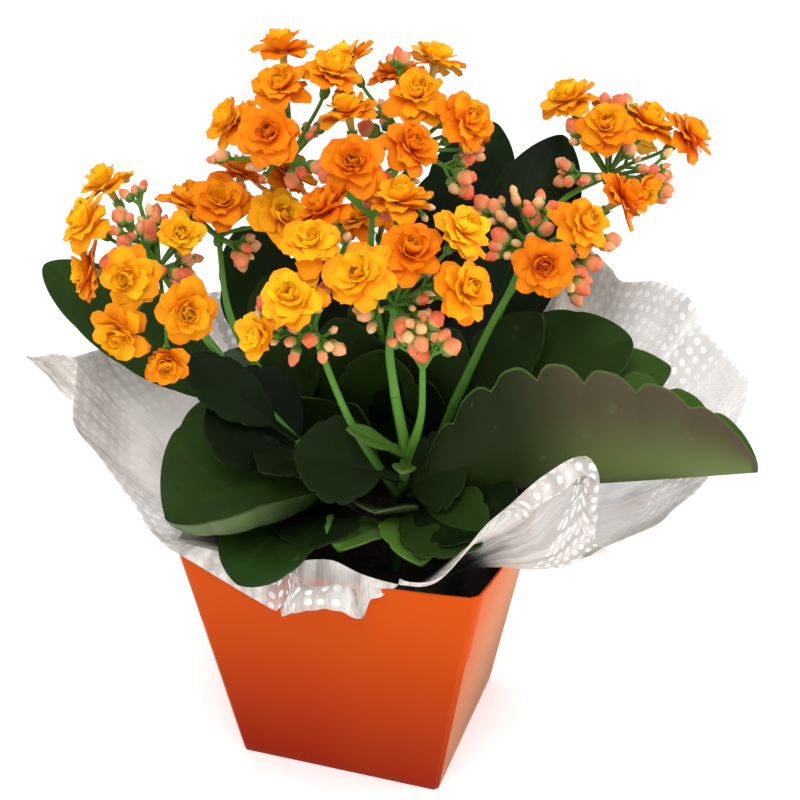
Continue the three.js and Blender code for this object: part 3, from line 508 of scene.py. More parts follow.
def slab(upper, lower):
    """Points and faces of a closed body between two grids that share their border."""
    rows, columns = upper.shape[:2]
    top = np.arange(rows * columns).reshape(rows, columns)
    bottom = top.copy()
    inside = bottom[1:-1, 1:-1].shape
    bottom[1:-1, 1:-1] = rows * columns + np.arange(inside[0] * inside[1]).reshape(inside)
    points = np.concatenate([upper.reshape(-1, 3), lower[1:-1, 1:-1].reshape(-1, 3)])
    return points, np.concatenate([quads(top), quads(bottom)[:, ::-1]]).tolist()


def spread(grid):
    """The values of a grid, in the order of a slab's points."""
    return np.concatenate([grid.ravel(), grid[1:-1, 1:-1].ravel()])


def skin(rings):
    """Points and faces of a closed body through rings of equally many points, each end closed by a point."""
    rings = np.asarray(rings, float)
    count, sides = rings.shape[:2]
    index = np.arange(count * sides).reshape(count, sides)
    points = np.concatenate([rings.reshape(-1, 3), rings[:1].mean(1), rings[-1:].mean(1)])
    faces = quads(index, closed=True).tolist()
    for i in range(sides):
        j = (i + 1) % sides
        faces.append([int(index[0, j]), int(index[0, i]), count * sides])
        faces.append([int(index[-1, i]), int(index[-1, j]), count * sides + 1])
    return points, faces


def ring_values(values, sides):
    """One value for each ring, in the order of a skin's points."""
    values = np.asarray(values, float)
    return np.concatenate([np.repeat(values, sides), values[:1], values[-1:]])


def tube_rings(line, radii, sides):
    """Rings round a line of points, none of them twisted against the next."""
    line = np.asarray(line, float)
    tangents = unit(np.gradient(line, axis=0))
    across, _ = crossways(tangents[0])
    turns = full_turn(sides)
    rings = []
    for centre, tangent, radius in zip(line, tangents, radii):
        across = unit(across - tangent * (across @ tangent))
        along = np.cross(tangent, across)
        rings.append(centre + radius * (np.outer(np.cos(turns), across) + np.outer(np.sin(turns), along)))
    return rings


# ---------------------------------------------------------------- shader helpers
def shade(code):
    """A colour as Blender wants it, from its usual six-digit code."""
    parts = [int(code[i:i + 2], 16) / 255 for i in (0, 2, 4)]
    return (*(c / 12.92 if c < 0.04045 else ((c + 0.055) / 1.055) ** 2.4 for c in parts), 1.0)


class Wire:
    """One output of a shader node, which can be used in an expression."""

    def __init__(self, finish, socket):
        self.finish, self.socket = finish, socket

    def math(self, operation, *values):
        return self.finish.node("ShaderNodeMath", dict(enumerate(values)), operation=operation)

    def __add__(self, other):
        return self.math("ADD", self, other)

    def __sub__(self, other):
        return self.math("SUBTRACT", self, other)

    def __rsub__(self, other):
        return self.math("SUBTRACT", other, self)

    def __mul__(self, other):
        return self.math("MULTIPLY", self, other)

    def __truediv__(self, other):
        return self.math("DIVIDE", self, other)

    def __pow__(self, other):
        return self.math("POWER", self, other)

    __radd__ = __add__
    __rmul__ = __mul__

    def sine(self):
        return self.math("SINE", self)

    def step(self, low, high):
        """0 up to low and 1 from high on, with a smooth way between."""
        inputs = {"Value": self, "From Min": low, "From Max": high}
        return self.finish.node("ShaderNodeMapRange", inputs, interpolation_type="SMOOTHSTEP")


class Finish:
    """A material that is being built."""

    def __init__(self, name):
        self.material = bpy.data.materials.new(name)
        self.material.use_nodes = True
        self.tree = self.material.node_tree
        self.tree.nodes.clear()

    def node(self, kind, inputs=None, output=0, **settings):
        node = self.tree.nodes.new(kind)
        for name, value in settings.items():
            setattr(node, name, value)
        for key, value in (inputs or {}).items():
            if isinstance(value, Wire):
                self.tree.links.new(value.socket, node.inputs[key])
            else:
                node.inputs[key].default_value = value
        return Wire(self, node.outputs[output])

    def value(self, name):
        """A value that each point of the mesh has."""
        return self.node("ShaderNodeAttribute", output=2, attribute_name=name)

    def place(self):
        return self.node("ShaderNodeTexCoord", output=3)

    def reach(self):
        """How far a point is from the plant's upright axis, in metres."""
        flat = self.node("ShaderNodeVectorMath", {0: self.place(), 1: (1.0, 1.0, 0.0)}, operation="MULTIPLY")
        return self.node("ShaderNodeVectorMath", {0: flat}, output=1, operation="LENGTH")

    def height(self):
        """Height over the surface that the object stands on, in metres."""
        return self.node("ShaderNodeSeparateXYZ", {0: self.place()}, output=2)

    def noise(self, scale, detail=3.0, roughness=0.5):
        inputs = {"Vector": self.place(), "Scale": scale, "Detail": detail, "Roughness": roughness}
        return self.node("ShaderNodeTexNoise", inputs)

    def blend(self, factor, first, second):
        """The first colour where the factor is 0, and the second where it is 1."""
        return self.node("ShaderNodeMix", {0: factor, 6: first, 7: second}, output=2, data_type="RGBA")

    def bump(self, height, distance, strength=1.0):
        return self.node("ShaderNodeBump", {"Height": height, "Distance": distance, "Strength": strength})

    def surface(self, **sockets):
        """Ends the material with its shader, each socket's name written with _ for a space."""
        inputs = {name.replace("_", " "): value for name, value in sockets.items()}
        shader = self.node("ShaderNodeBsdfPrincipled", inputs)
        output = self.tree.nodes.new("ShaderNodeOutputMaterial")
        self.tree.links.new(shader.socket, output.inputs["Surface"])
        return self.material


# ---------------------------------------------------------------- geometry node helpers
class Growth:
    """A geometry node tree that is being built, with named inputs."""

    def __init__(self, name, **inputs):
        self.tree = bpy.data.node_groups.new(name, "GeometryNodeTree")
        face = self.tree.interface
        face.new_socket("Geometry", in_out="INPUT", socket_type="NodeSocketGeometry")
        for label, kind in inputs.items():
            face.new_socket(label.replace("_", " "), in_out="INPUT", socket_type=f"NodeSocket{kind}")
        face.new_socket("Geometry", in_out="OUTPUT", socket_type="NodeSocketGeometry")
        self.start = self.tree.nodes.new("NodeGroupInput")

    def given(self, label):
        return self.start.outputs[label]

    def node(self, kind, inputs=None, output=0, **settings):
        node = self.tree.nodes.new(kind)
        for name, value in settings.items():
            setattr(node, name, value)
        for key, value in (inputs or {}).items():
            if isinstance(value, bpy.types.NodeSocket):
                self.tree.links.new(value, node.inputs[key])
            else:
                node.inputs[key].default_value = value
        return node.outputs[output]

    def value(self, name, kind):
        """A value that each point of the geometry has."""
        return self.node("GeometryNodeInputNamedAttribute", {"Name": name}, data_type=kind)

    def close(self, geometry):
        """Ends the tree with real, smooth faces in the given material."""
        real = self.node("GeometryNodeRealizeInstances", {0: geometry})
        even = self.node("GeometryNodeSetShadeSmooth", {0: real})
        dressed = self.node("GeometryNodeSetMaterial", {0: even, "Material": self.given("Material")})
        end = self.tree.nodes.new("NodeGroupOutput")
        self.tree.links.new(dressed, end.inputs[0])
        return self.tree


def copies_tree():
    """Stands copies of a collection's masters on points, turned and sized by the points' own values."""
    growth = Growth("copies", Masters="Collection", Size="Float", Material="Material")
    masters = growth.node(
        "GeometryNodeCollectionInfo",
        {"Collection": growth.given("Masters"), "Separate Children": True, "Reset Children": True},
    )
    size = growth.node(
        "ShaderNodeVectorMath",
        {0: growth.value("size", "FLOAT_VECTOR"), "Scale": growth.given("Size")},
        operation="SCALE",
    )
    turn = growth.node("FunctionNodeEulerToRotation", {0: growth.value("turn", "FLOAT_VECTOR")})
    stood = growth.node("GeometryNodeInstanceOnPoints", {
        "Points": growth.given("Geometry"),
        "Instance": masters,
        "Pick Instance": True,
        "Instance Index": growth.value("kind", "INT"),
        "Rotation": turn,
        "Scale": size,
    })
    return growth.close(stood)


def crumbs_tree():
    """Strews rough crumbs over the faces of a surface."""
    growth = Growth("crumbs", Density="Float", Smallest="Float", Largest="Float", Seed="Int",
                    Material="Material")
    points = growth.node("GeometryNodeDistributePointsOnFaces", {
        "Mesh": growth.given("Geometry"), "Density": growth.given("Density"), "Seed": growth.given("Seed"),
    })
    ball = growth.node("GeometryNodeMeshIcoSphere", {"Radius": 1.0, "Subdivisions": 1})
    turn = growth.node("FunctionNodeRandomValue", {
        0: (0, 0, 0), 1: (math.tau, math.tau, math.tau), "Seed": growth.given("Seed"),
    }, data_type="FLOAT_VECTOR")
    size = growth.node("FunctionNodeRandomValue", {
        2: growth.given("Smallest"), 3: growth.given("Largest"), "Seed": growth.given("Seed"),
    }, output=1, data_type="FLOAT")
    flat = growth.node("ShaderNodeVectorMath", {0: (1.0, 0.75, 0.6), "Scale": size}, operation="SCALE")
    stood = growth.node("GeometryNodeInstanceOnPoints", {
        "Points": points,
        "Instance": ball,
        "Rotation": growth.node("FunctionNodeEulerToRotation", {0: turn}),
        "Scale": flat,
    })
    return growth.close(stood)


def grow(name, host, tree, **inputs):
    """The plain mesh piece that a tree makes of a host object, which is then removed."""
    modifier = host.modifiers.new("growth", "NODES")
    modifier.node_group = tree
    for item in tree.interface.items_tree:
        key = item.name.replace(" ", "_")
        if item.in_out == "INPUT" and key in inputs:
            modifier[item.identifier] = inputs[key]
    bpy.context.view_layer.update()
    depsgraph = bpy.context.evaluated_depsgraph_get()
    held = host.evaluated_get(depsgraph)
    mesh = bpy.data.meshes.new_from_object(held, preserve_all_data_layers=True, depsgraph=depsgraph)
    bpy.data.objects.remove(host)
    if not mesh.polygons:
        raise RuntimeError(f"{name} grew no faces")
    mesh.name = name
    return show(name, mesh)


def stand_points(name, copies):
    """A host of bare points from (place, [three directions], size, kind, tint), one for each copy."""
    places, directions, sizes, kinds, tints = zip(*copies)
    mesh = new_mesh(name, places, [])
    turns = [Matrix(np.array(axes).T.tolist()).to_euler() for axes in directions]
    give_values(mesh, "turn", turns, "FLOAT_VECTOR", "vector")
    give_values(mesh, "size", [(size * MM,) * 3 for size in sizes], "FLOAT_VECTOR", "vector")
    give_values(mesh, "kind", kinds, "INT")
    give_values(mesh, "tint", tints)
    return show(name, mesh)


def masters_of(name, solids):
    """A collection of master shapes, in the order given, which only its copies show."""
    collection = bpy.data.collections.new(name)
    for i, solid in enumerate(solids):
        master = solid.piece(f"{name}_{i:02d}", sharp=60)
        bpy.context.scene.collection.objects.unlink(master)
        master.data.transform(Matrix.Scale(1 / MM, 4))
        collection.objects.link(master)
    return collection


# ---------------------------------------------------------------- finishes
def card_finish(colour, shaded_low_colour):
    """Matte printed card, darker towards its base in painted shade, with a faint grain and a soft sheen."""
    finish = Finish("orange_card")
    # painted shade: the card darkens from its rim colour to its base colour lower down, as if in shade
    depth = 1 - (finish.height() / (COVER_HEIGHT * MM)).step(-0.15, 1.1)
    grain = finish.noise(900, 4, 0.7)
    cloud = finish.noise(14, 2)
    body = finish.blend(depth, colour, shaded_low_colour)
    worn = finish.blend((cloud - 0.5) * 0.2 + grain * 0.04, body, shade("E0762C"))
    return finish.surface(
        Base_Color=worn,
        Roughness=0.42 + grain * 0.1,
        Normal=finish.bump(grain, 0.00003),
        Sheen_Weight=0.42, Sheen_Roughness=0.2, Sheen_Tint=(0.9, 1.0, 0.5, 1.0), Specular_IOR_Level=0.04,
    )


def shaded_lining_finish(colour):
    """The cover's unprinted inside, painted as dark as the shade within the cover."""
    finish = Finish("dark_lining")
    grain = finish.noise(600, 3)
    # painted shade: the inside is coloured as dark as the shade that fills the cover
    return finish.surface(Base_Color=colour, Roughness=0.6 + grain * 0.2, Specular_IOR_Level=0.2)


# The film's dots, their radius in steps of their spacing, and how far in from its edge they go, in metres.
# Both are given from where a dot or the print is full to where it ends.
FILM_DOTS_EACH_METRE = 195
FILM_DOT_RADIUS = (0.24, 0.31)
FILM_PRINT_REACH = (0.030, 0.036)


def film_finish(opacity):
    """Clear frosted film, crumpled, with painted shade and highlight in streaks along its creases, milky
    where it is pleated, with opaque white dots near its edge, and a faint painted glow, brightest where it
    has faded.
    """
    finish = Finish("dotted_film")
    flat = finish.node("ShaderNodeUVMap", uv_map="sheet")
    veil, left, pleated, faded = (finish.value(name) for name in ("veil", "left", "pleated", "faded"))
    dots = finish.node(
        "ShaderNodeTexVoronoi", {"Vector": flat, "Scale": FILM_DOTS_EACH_METRE, "Randomness": 0.3},
        voronoi_dimensions="2D", feature="F1",
    )
    dot = (1 - dots.step(*FILM_DOT_RADIUS)) * (1 - left.step(*FILM_PRINT_REACH)) * veil * (1 - faded * 0.75)
    cloud = finish.noise(55, 4, 0.65)
    stretched = finish.node("ShaderNodeMapping", {"Vector": flat, "Scale": (150, 14, 1)})
    creases_and_streak_shade = finish.node(
        "ShaderNodeTexNoise", {"Vector": stretched, "Scale": 1.0, "Detail": 4.0, "Roughness": 0.6},
    )
    streaks = ((cloud - 0.5) * 0.5 + (creases_and_streak_shade - 0.5) * 0.6) * (1 - faded * 0.6)
    haze = veil * (opacity + streaks + pleated * 0.25 + faded * 0.4) + 0.02
    # painted shade and highlight: the film's body is darker and lighter in streaks along its creases
    body = finish.blend(creases_and_streak_shade.step(0.3, 0.7), shade("A8A19A"), shade("DAD4CE"))
    # painted light: faded stretches near the edge are lightened, and the whole film glows faintly, most
    # there, as if lit through from behind
    milky_and_glowing = faded * left.step(0.01, 0.04)
    body = finish.blend(milky_and_glowing * 0.8, body, shade("EAE5E0"))
    wrinkle = finish.noise(120, 4, 0.65)
    return finish.surface(
        Base_Color=finish.blend(dot, body, shade("FFFFFF")),
        Emission_Color=finish.blend(milky_and_glowing, shade("8A8680"), shade("EAE5E0")), Emission_Strength=0.25,
        Alpha=finish.node("ShaderNodeMath", {0: haze, 1: dot * 0.92}, operation="MAXIMUM", use_clamp=True),
        Roughness=0.34 + cloud * 0.2,
        Normal=finish.bump(wrinkle + creases_and_streak_shade * 0.7, 0.0012, 0.7),
        Specular_IOR_Level=0.4,
    )


def pot_finish():
    """Black moulded plastic, a little dusty."""
    finish = Finish("black_plastic")
    dust = finish.noise(60, 5, 0.65)
    return finish.surface(
        Base_Color=finish.blend(dust.step(0.5, 0.8) * 0.5, shade("0A0A0B"), shade("1C1A18")),
        Roughness=0.4 + dust * 0.3,
        Normal=finish.bump(finish.noise(500, 2), 0.00005),
        Specular_IOR_Level=0.15,
    )


def soil_finish(name, dark, pale):
    """Potting soil in lumps of two tones."""
    finish = Finish(name)
    lump = finish.noise(220, 6, 0.7)
    return finish.surface(
        Base_Color=finish.blend(lump.step(0.35, 0.7), dark, pale),
        Roughness=0.9,
        Normal=finish.bump(lump, 0.0012),
        Specular_IOR_Level=0.1,
    )


def leaf_finish(colour, deep_colour):
    """Fleshy leaf: mottled dark green, a soft gloss, faint veins, a paler underside, a brownish margin."""
    finish = Finish("leaf")
    edge, along, under, tint, ruddy, dim = (
        finish.value(name) for name in ("edge", "along", "under", "tint", "ruddy", "dim"))
    mottle = finish.noise(38, 4, 0.6)
    fine = finish.noise(500, 3, 0.6)
    veins = ((along * 42 - edge * 13 + mottle * 7).sine() * 0.5 + 0.5) ** 8.0
    rib = (1 - edge.step(0.0, 0.09)) * (1 - along.step(0.3, 0.95))
    upper = finish.blend(mottle.step(0.35, 0.7), deep_colour, colour)
    upper = finish.blend(rib * 0.22 + veins * 0.03, upper, shade("3C5F2A"))
    # painted shade: leaves darken towards the plant's middle, and by how much each is in the shade
    shaded = (1 - finish.reach().step(0.035, 0.08)) * 0.9
    upper = finish.blend(shaded, upper, shade("060C04"))
    upper = finish.blend(dim, upper, shade("060C04"))
    fresh = finish.blend(tint, upper, shade("6A9A3A"))
    brown = finish.blend(edge.step(0.1, 0.9), shade("606E3C"), shade("4C4332"))
    lower = finish.blend(ruddy, finish.blend(edge.step(0.5, 1.0), shade("304820"), shade("52663A")), brown)
    lower = finish.blend(mottle.step(0.3, 0.8) * 0.35, lower, shade("51603A"))
    lower = finish.blend((1 - along.step(0.35, 0.65)) * 0.9, lower, shade("142509"))
    faced = finish.blend(under.step(0.5, 0.95), fresh, lower)
    margin = edge.step(0.975, 1.0) * along.step(0.3, 0.6)
    lined = finish.blend(margin * (0.1 + ruddy * 0.3) * (1 - dim), faced, shade("6A5E48"))
    scar = finish.noise(130, 2).step(0.70, 0.74) * (1 - dim)
    return finish.surface(
        Base_Color=finish.blend(scar * 0.12, lined, shade("6C7A58")),
        Roughness=0.34 + mottle * 0.22,
        Normal=finish.bump(veins * 0.12 + fine * 0.15 - rib * 0.5 + mottle, 0.0006, 0.5),
        Specular_IOR_Level=0.08,
    )


def stem_finish(colour):
    """Juicy green stem, darker at its foot in painted shade, with yellow flower tubes at its ends."""
    finish = Finish("stem")
    streak = finish.noise(260, 3, 0.6)
    # painted shade: the stem darkens to a near-black green low down
    green = finish.blend(finish.height().step(0.11, 0.17), shade("20380F"), colour)
    green = finish.blend(streak.step(0.55, 0.8) * 0.2, green, shade("6C8E3C"))
    return finish.surface(
        Base_Color=finish.blend(finish.value("blush"), green, shade("D9B04A")),
        Roughness=0.4 + streak * 0.15,
        Normal=finish.bump(streak, 0.0002),
        Specular_IOR_Level=0.3,
        Subsurface_Weight=0.08, Subsurface_Scale=0.002, Subsurface_Radius=(0.5, 1.0, 0.2),
    )


def petal_finish(colour, deep_colour, margin_colour):
    """Velvety, finely streaked petal: deep orange at its claw in painted shade, brightest midway, redder
    along its margin.
    """
    finish = Finish("petal")
    along, edge, tint = (finish.value(name) for name in ("along", "edge", "tint"))
    cloud = finish.noise(90, 3, 0.6)
    streak = finish.noise(600, 2, 0.5)
    # painted shade: the petal darkens towards its claw, deep in the bloom, in both its orange and its yellow
    out_of_claw_shade = (along + (cloud - 0.5) * 0.9 + tint * 0.4).step(-0.05, 0.75)
    base = finish.blend(out_of_claw_shade, deep_colour, colour)
    yellow = finish.blend(out_of_claw_shade, shade("FA9200"), shade("FFCA1C"))
    body = finish.blend(tint, base, yellow)
    rimmed = edge.step(0.4, 1.0) * (cloud - 0.3) * 1.5 * (1 - tint * 0.7)
    return finish.surface(
        Base_Color=finish.blend(rimmed, body, margin_colour),
        Roughness=0.6 + streak * 0.15,
        Normal=finish.bump(streak + cloud * 0.6, 0.00025, 0.6),
        Specular_IOR_Level=0.12,
    )


def bud_finish(colour, pale_colour):
    """Waxy bud, green at its calyx, cream above it, with a coral or a greenish cream tip."""
    finish = Finish("bud")
    along, tint = finish.value("along"), finish.value("tint")
    cloud = finish.noise(240, 2)
    flush = (along + (cloud - 0.5) * 0.5).step(0.3, 0.8)
    tip = finish.blend(flush, shade("E8B070"), finish.blend(tint, colour, pale_colour))
    return finish.surface(
        Base_Color=finish.blend(along.step(0.34, 0.42), shade("5C7E2C"), tip),
        Roughness=0.42, Specular_IOR_Level=0.35,
        Subsurface_Weight=0.12, Subsurface_Scale=0.002, Subsurface_Radius=(1.0, 0.4, 0.15),
    )


def floor_finish():
    """Plain pale floor, which glows a little so that its shadows stay soft."""
    finish = Finish("pale_floor")
    return finish.surface(
        Base_Color=shade("FFFFFF"), Roughness=0.9, Specular_IOR_Level=0.1,
        Emission_Color=shade("FFFFFF"), Emission_Strength=0.2,
    )


# ---------------------------------------------------------------- leaves
# Half a leaf's thickness beside its rib, the height of the rib beneath it, its stalk, how blunt its outline
# and how hollow its halves are, and where its last notch is, as a share of its length.
LEAF_FLESH = 0.75
LEAF_RIB = 0.9
LEAF_STALK_RADIUS = 1.9
LEAF_FULLNESS = 0.56
LEAF_CUP = 1.5
LAST_NOTCH = 0.985
LEAF_ROWS = 72
LEAF_COLUMNS = 19


def leaf(solid, route, shape, seed):
    """Adds one fleshy leaf, on the rib and with the outline that the model gives it, to a shoot's solid."""
    draw = random.Random(seed)
    s = {**PLAIN_LEAF, **shape}
    start, end, normal = walk(route, [s["at"]])[0], vector(*s["tip"]), unit(vector(*s["face"]))
    middle = (start + end) / 2 + 2 * s["arch"] * normal
    t = 1 - (1 - np.linspace(0, 1, LEAF_ROWS)) ** 1.4
    rib = (1 - t[:, None]) ** 2 * start + 2 * (t * (1 - t))[:, None] * middle + t[:, None] ** 2 * end
    along = unit(2 * (1 - t[:, None]) * (middle - start) + 2 * t[:, None] * (end - middle))
    across = unit(np.cross(along, normal))
    raised = unit(np.cross(across, along))

    side = np.sin(np.linspace(-math.pi / 2, math.pi / 2, LEAF_COLUMNS))
    share = np.abs(side)[None, :]

    def halves(pair):
        return np.where(side < 0, pair[0], pair[1])[None, :]

    u = np.clip((t - s["stalk"]) / (1 - s["stalk"]), 0, 1)[:, None]
    outline = np.sin(math.pi * u ** s["peak"]).clip(0) ** LEAF_FULLNESS
    shift = halves((draw.uniform(-0.02, 0.02), draw.uniform(-0.02, 0.02)))
    wave = np.abs(np.sin(math.pi * s["lobes"] * (u / LAST_NOTCH + shift)))
    notch = s["depth"] * (1 - wave) ** 1.7 * smooth(u / 0.12)
    stalk = LEAF_STALK_RADIUS * (1 - 0.8 * smooth(u * 3))
    half = np.maximum(stalk, s["width"] / 2 * outline * halves(s["wide"]))
    half = np.maximum(half * (1 - notch * smooth((share - 0.25) / 0.75)), 0.25)
    fold = math.radians(s["fold"])
    phase = draw.uniform(0, math.tau)
    ripple = np.sin(math.tau * 1.3 * t[:, None] + phase + 1.2 * (side > 0))
    flutter = 0.03 * s["width"] * ripple * share ** 2 * outline
    curled = halves(s["curl"]) * share ** 4
    lift = half * (math.sin(fold) * share ** LEAF_CUP + curled) + flutter
    out = half * side[None, :] * math.cos(fold) * (1 - 0.35 * curled)
    flat = rib[:, None] + out[..., None] * across[:, None] + lift[..., None] * raised[:, None]

    body = np.sqrt(1 - share ** 6) * (LEAF_FLESH + (LEAF_STALK_RADIUS - LEAF_FLESH) * (1 - smooth(u / 0.25)))
    groove = 0.35 * np.exp(-(share / 0.07) ** 2) * smooth(u * 4)
    keel = LEAF_RIB * np.exp(-(share / 0.12) ** 2) * (1 - 0.7 * u)
    upper = flat + (body - groove)[..., None] * raised[:, None]
    lower = flat - (body + keel)[..., None] * raised[:, None]
    points, faces = slab(upper, lower)
    grid = np.broadcast_to(share, (LEAF_ROWS, LEAF_COLUMNS))
    edge = np.maximum(grid, smooth((t[:, None] - 0.97) / 0.03) * np.ones_like(grid))
    long_way = np.broadcast_to(t[:, None], grid.shape)
    beneath = np.concatenate([np.zeros(grid.size), np.ones((LEAF_ROWS - 2) * (LEAF_COLUMNS - 2))])
    solid.add(points, faces, slot=1, edge=spread(edge), along=spread(long_way), under=beneath,
              tint=s.get("fresh", draw.uniform(0, 0.12)), ruddy=s["ruddy"], dim=s["dim"])


# ---------------------------------------------------------------- blooms
def bloom_size(openness):
    return mix(CLOSED_SIZE, 1, openness)


def place_blooms():
    """Every bloom with its node, head, hub, centre, axis and openness, moved apart as in the model."""
    blooms = []
    for head, entry in HEADS.items():
        hub = vector(*entry["hub"])
        for i, (azimuth, elevation, reach, *rest) in enumerate(entry["blooms"]):
            centre = hub + heading(azimuth, elevation) * reach
            node, openness = f"bloom_{head}_{i + 1}", rest[0] if rest else 1.0
            blooms.append(dict(node=node, head=head, hub=hub, centre=centre, open=openness))
    light = heading(LIGHT_AZIMUTH, LIGHT_ELEVATION)

    def aim():
        for b in blooms:
            b["axis"] = unit(unit(b["centre"] - b["hub"]) + light * TURN_TO_LIGHT)

    aim()
    for _ in range(SPACING_ROUNDS):
        for i, a in enumerate(blooms):
            for b in blooms[i + 1:]:
                apart = b["centre"] - a["centre"]
                both = unit(a["axis"] + b["axis"])
                depth = apart @ both
                across = np.linalg.norm(apart - both * depth)
                distance = math.hypot(across, BLOOM_DEPTH_WEIGHT * depth)
                spacing = BLOOM_SPACING * (bloom_size(a["open"]) + bloom_size(b["open"])) / 2
                if distance < spacing:
                    step = apart * 0.5 * (spacing - distance) / distance
                    b["centre"] = b["centre"] + step
                    a["centre"] = a["centre"] - step
        aim()
    return blooms


BLOOMS = place_blooms()

# The whorls of petals from the outside in: how many petals, their length as a share of the bloom's radius,
# their lift from flat in degrees, the height of their roots, and which master shapes they are made from.
WHORLS = [
    (6, 0.97, 6, 0.0, (0, 1, 2)),
    (5, 0.89, 22, 0.6, (0, 1, 2)),
    (5, 0.76, 40, 1.2, (0, 2, 3)),
    (4, 0.66, 58, 1.8, (3, 4)),
    (3, 0.52, 72, 2.2, (4, 5)),
    (2, 0.42, 82, 2.4, (5, 6)),
]

# The master shapes: half the width of a petal 1 long, its cup, how far its end bends back, its ruffle and the
# notch in its end.
PETALS = [
    (0.48, 0.25, 0.12, 0.060, 0.02), (0.44, 0.10, 0.20, 0.075, 0.00), (0.52, 0.35, 0.04, 0.065, 0.04),
    (0.50, 0.45, -0.05, 0.085, 0.02), (0.47, 0.50, -0.12, 0.095, 0.00),
    (0.50, 0.65, -0.22, 0.090, 0.00), (0.46, 0.80, -0.30, 0.070, 0.02),
]
PETAL_STEPS = 6
PETAL_FULLNESS = 1.14
PETAL_SEED = 1000

# How yellow whole blooms are.
BLOOM_TONES = (-0.8, -0.3, 0.1, 0.4, 0.6, 0.8, 1.1)


def petal_master(half_width, cup, recurve, ruffle, notch, seed):
    """One petal, 1 long, along +X with its face up, as a thin closed body."""
    phase = random.Random(seed).uniform(0, math.tau)
    u = np.linspace(0, 1, PETAL_STEPS)[:, None]
    v = np.sin(np.linspace(-math.pi / 2, math.pi / 2, PETAL_STEPS))[None, :]
    breadth = half_width * (0.3 + 0.7 * smooth(u / 0.6)) * np.sqrt(1 - 0.6 * smooth((u - 0.5) / 0.5))
    x = u * (1 - 0.17 * v ** 2 * smooth(u)) - notch * np.exp(-(v / 0.3) ** 2) * u ** 6
    y = breadth * v
    wave = np.sin(5.2 * v + phase) * smooth((u - 0.3) / 0.7) + 0.5 * np.sin(6 * u + phase) * np.abs(v)
    z = cup * breadth * v ** 2 - recurve * u ** 2.5 + ruffle * wave
    flat = np.stack([x, y, z], axis=-1)
    thick = 0.02 * np.sqrt(np.clip(1 - v ** 4, 0, 1)) * (1 - 0.4 * u)
    rise = np.stack([0 * thick, 0 * thick, thick], axis=-1)
    points, faces = slab(flat + rise, flat - rise)
    solid = Solid("along", "edge")
    edge = np.maximum(np.abs(v) * np.ones_like(u), smooth((u - 0.6) / 0.4) * np.ones_like(v))
    solid.add(points, faces, along=spread(u * np.ones_like(v)), edge=spread(edge))
    return solid


def petal_masters():
    return masters_of("petal_master", [petal_master(*shape, seed=i) for i, shape in enumerate(PETALS)])


def bloom_copies(bloom, number):
    """The petals of one bloom, as copies of the petal masters."""
    draw = random.Random(PETAL_SEED + number)
    axis, centre = bloom["axis"], bloom["centre"]
    across, along = crossways(axis, 37 * number)
    size = bloom_size(bloom["open"]) * PETAL_FULLNESS
    closing = HALF_OPEN_LIFT * (1 - bloom["open"])
    tone = draw.choice(BLOOM_TONES)
    spring = draw.uniform(0.85, 1.15)
    copies = []
    for layer, (count, reach, lift, root, kinds) in enumerate(WHORLS):
        for i in range(count):
            turn = math.radians(360 / count * (i + 0.5 * layer) + draw.uniform(-15, 15))
            rise = math.radians(min(lift * spring + closing + draw.uniform(-13, 13), 88))
            roll = math.radians(draw.uniform(-14, 14))
            radial = across * math.cos(turn) + along * math.sin(turn)
            lengthways = radial * math.cos(rise) + axis * math.sin(rise)
            flat = np.cross(axis, radial)
            face = np.cross(lengthways, flat)
            sideways = flat * math.cos(roll) + face * math.sin(roll)
            axes = [lengthways, sideways, np.cross(lengthways, sideways)]
            place = centre + axis * (root - 0.4) + radial * 0.9
            tint = 0.55 * tone + 0.17 * layer + draw.uniform(-0.18, 0.14)
            long = BLOOM_RADIUS * size * reach * draw.uniform(0.86, 1.1)
            copies.append((place, axes, long, draw.choice(kinds), min(1.0, max(0.0, tint))))
    return copies


# ---------------------------------------------------------------- buds
BUD_SIDES = 8
BUD_SEED = 500
BUD_TURN_SEED = 800

# Rings of a bud 1 long, as (place along it, radius), and the sizes and tints that buds come in.
BUD_RINGS = [(0.0, 0.12), (0.14, 0.29), (0.34, 0.31), (0.38, 0.26), (0.62, 0.33), (0.86, 0.21), (1.0, 0.05)]
BUD_SIZES = (0.62, 0.8, 0.95, 1.1)
BUD_TINTS = (0.0, 0.1, 0.25, 0.6, 0.9)

# How far a spray's fork stands below the foot of its buds.
FORK_GAP = 2


def bud_master(slimness, twist):
    """A bud 1 long along +X: a calyx cup, and a rounded, faintly four-sided tip that stands out of it."""
    turns = full_turn(BUD_SIDES)
    rings = []
    for along, radius in BUD_RINGS:
        furrow = 1 - (0.07 if along > 0.37 else 0.02) * np.cos(4 * turns)
        turn = turns + twist * max(0.0, along - 0.4)
        reach = radius * slimness * furrow
        places = np.full(BUD_SIDES, along)
        rings.append(np.stack([places, reach * np.cos(turn), reach * np.sin(turn)], axis=-1))
    points, faces = skin(rings)
    solid = Solid("along")
    solid.add(points, faces, along=ring_values([along for along, _ in BUD_RINGS], BUD_SIDES))
    return solid


def bud_masters():
    return masters_of("bud_master", [bud_master(1.0, 0.6), bud_master(0.86, 0.9), bud_master(1.14, 0.3)])


def in_bloom(place):
    """True where a bud would stand in a bloom."""
    for bloom in BLOOMS:
        apart = place - bloom["centre"]
        depth = apart @ bloom["axis"]
        across = np.linalg.norm(apart - bloom["axis"] * depth)
        room = BLOOM_RADIUS * bloom_size(bloom["open"]) + 0.5 * BUD_RADIUS
        if (across / room) ** 2 + ((depth - 1) / 7) ** 2 < 1:
            return True
    return False


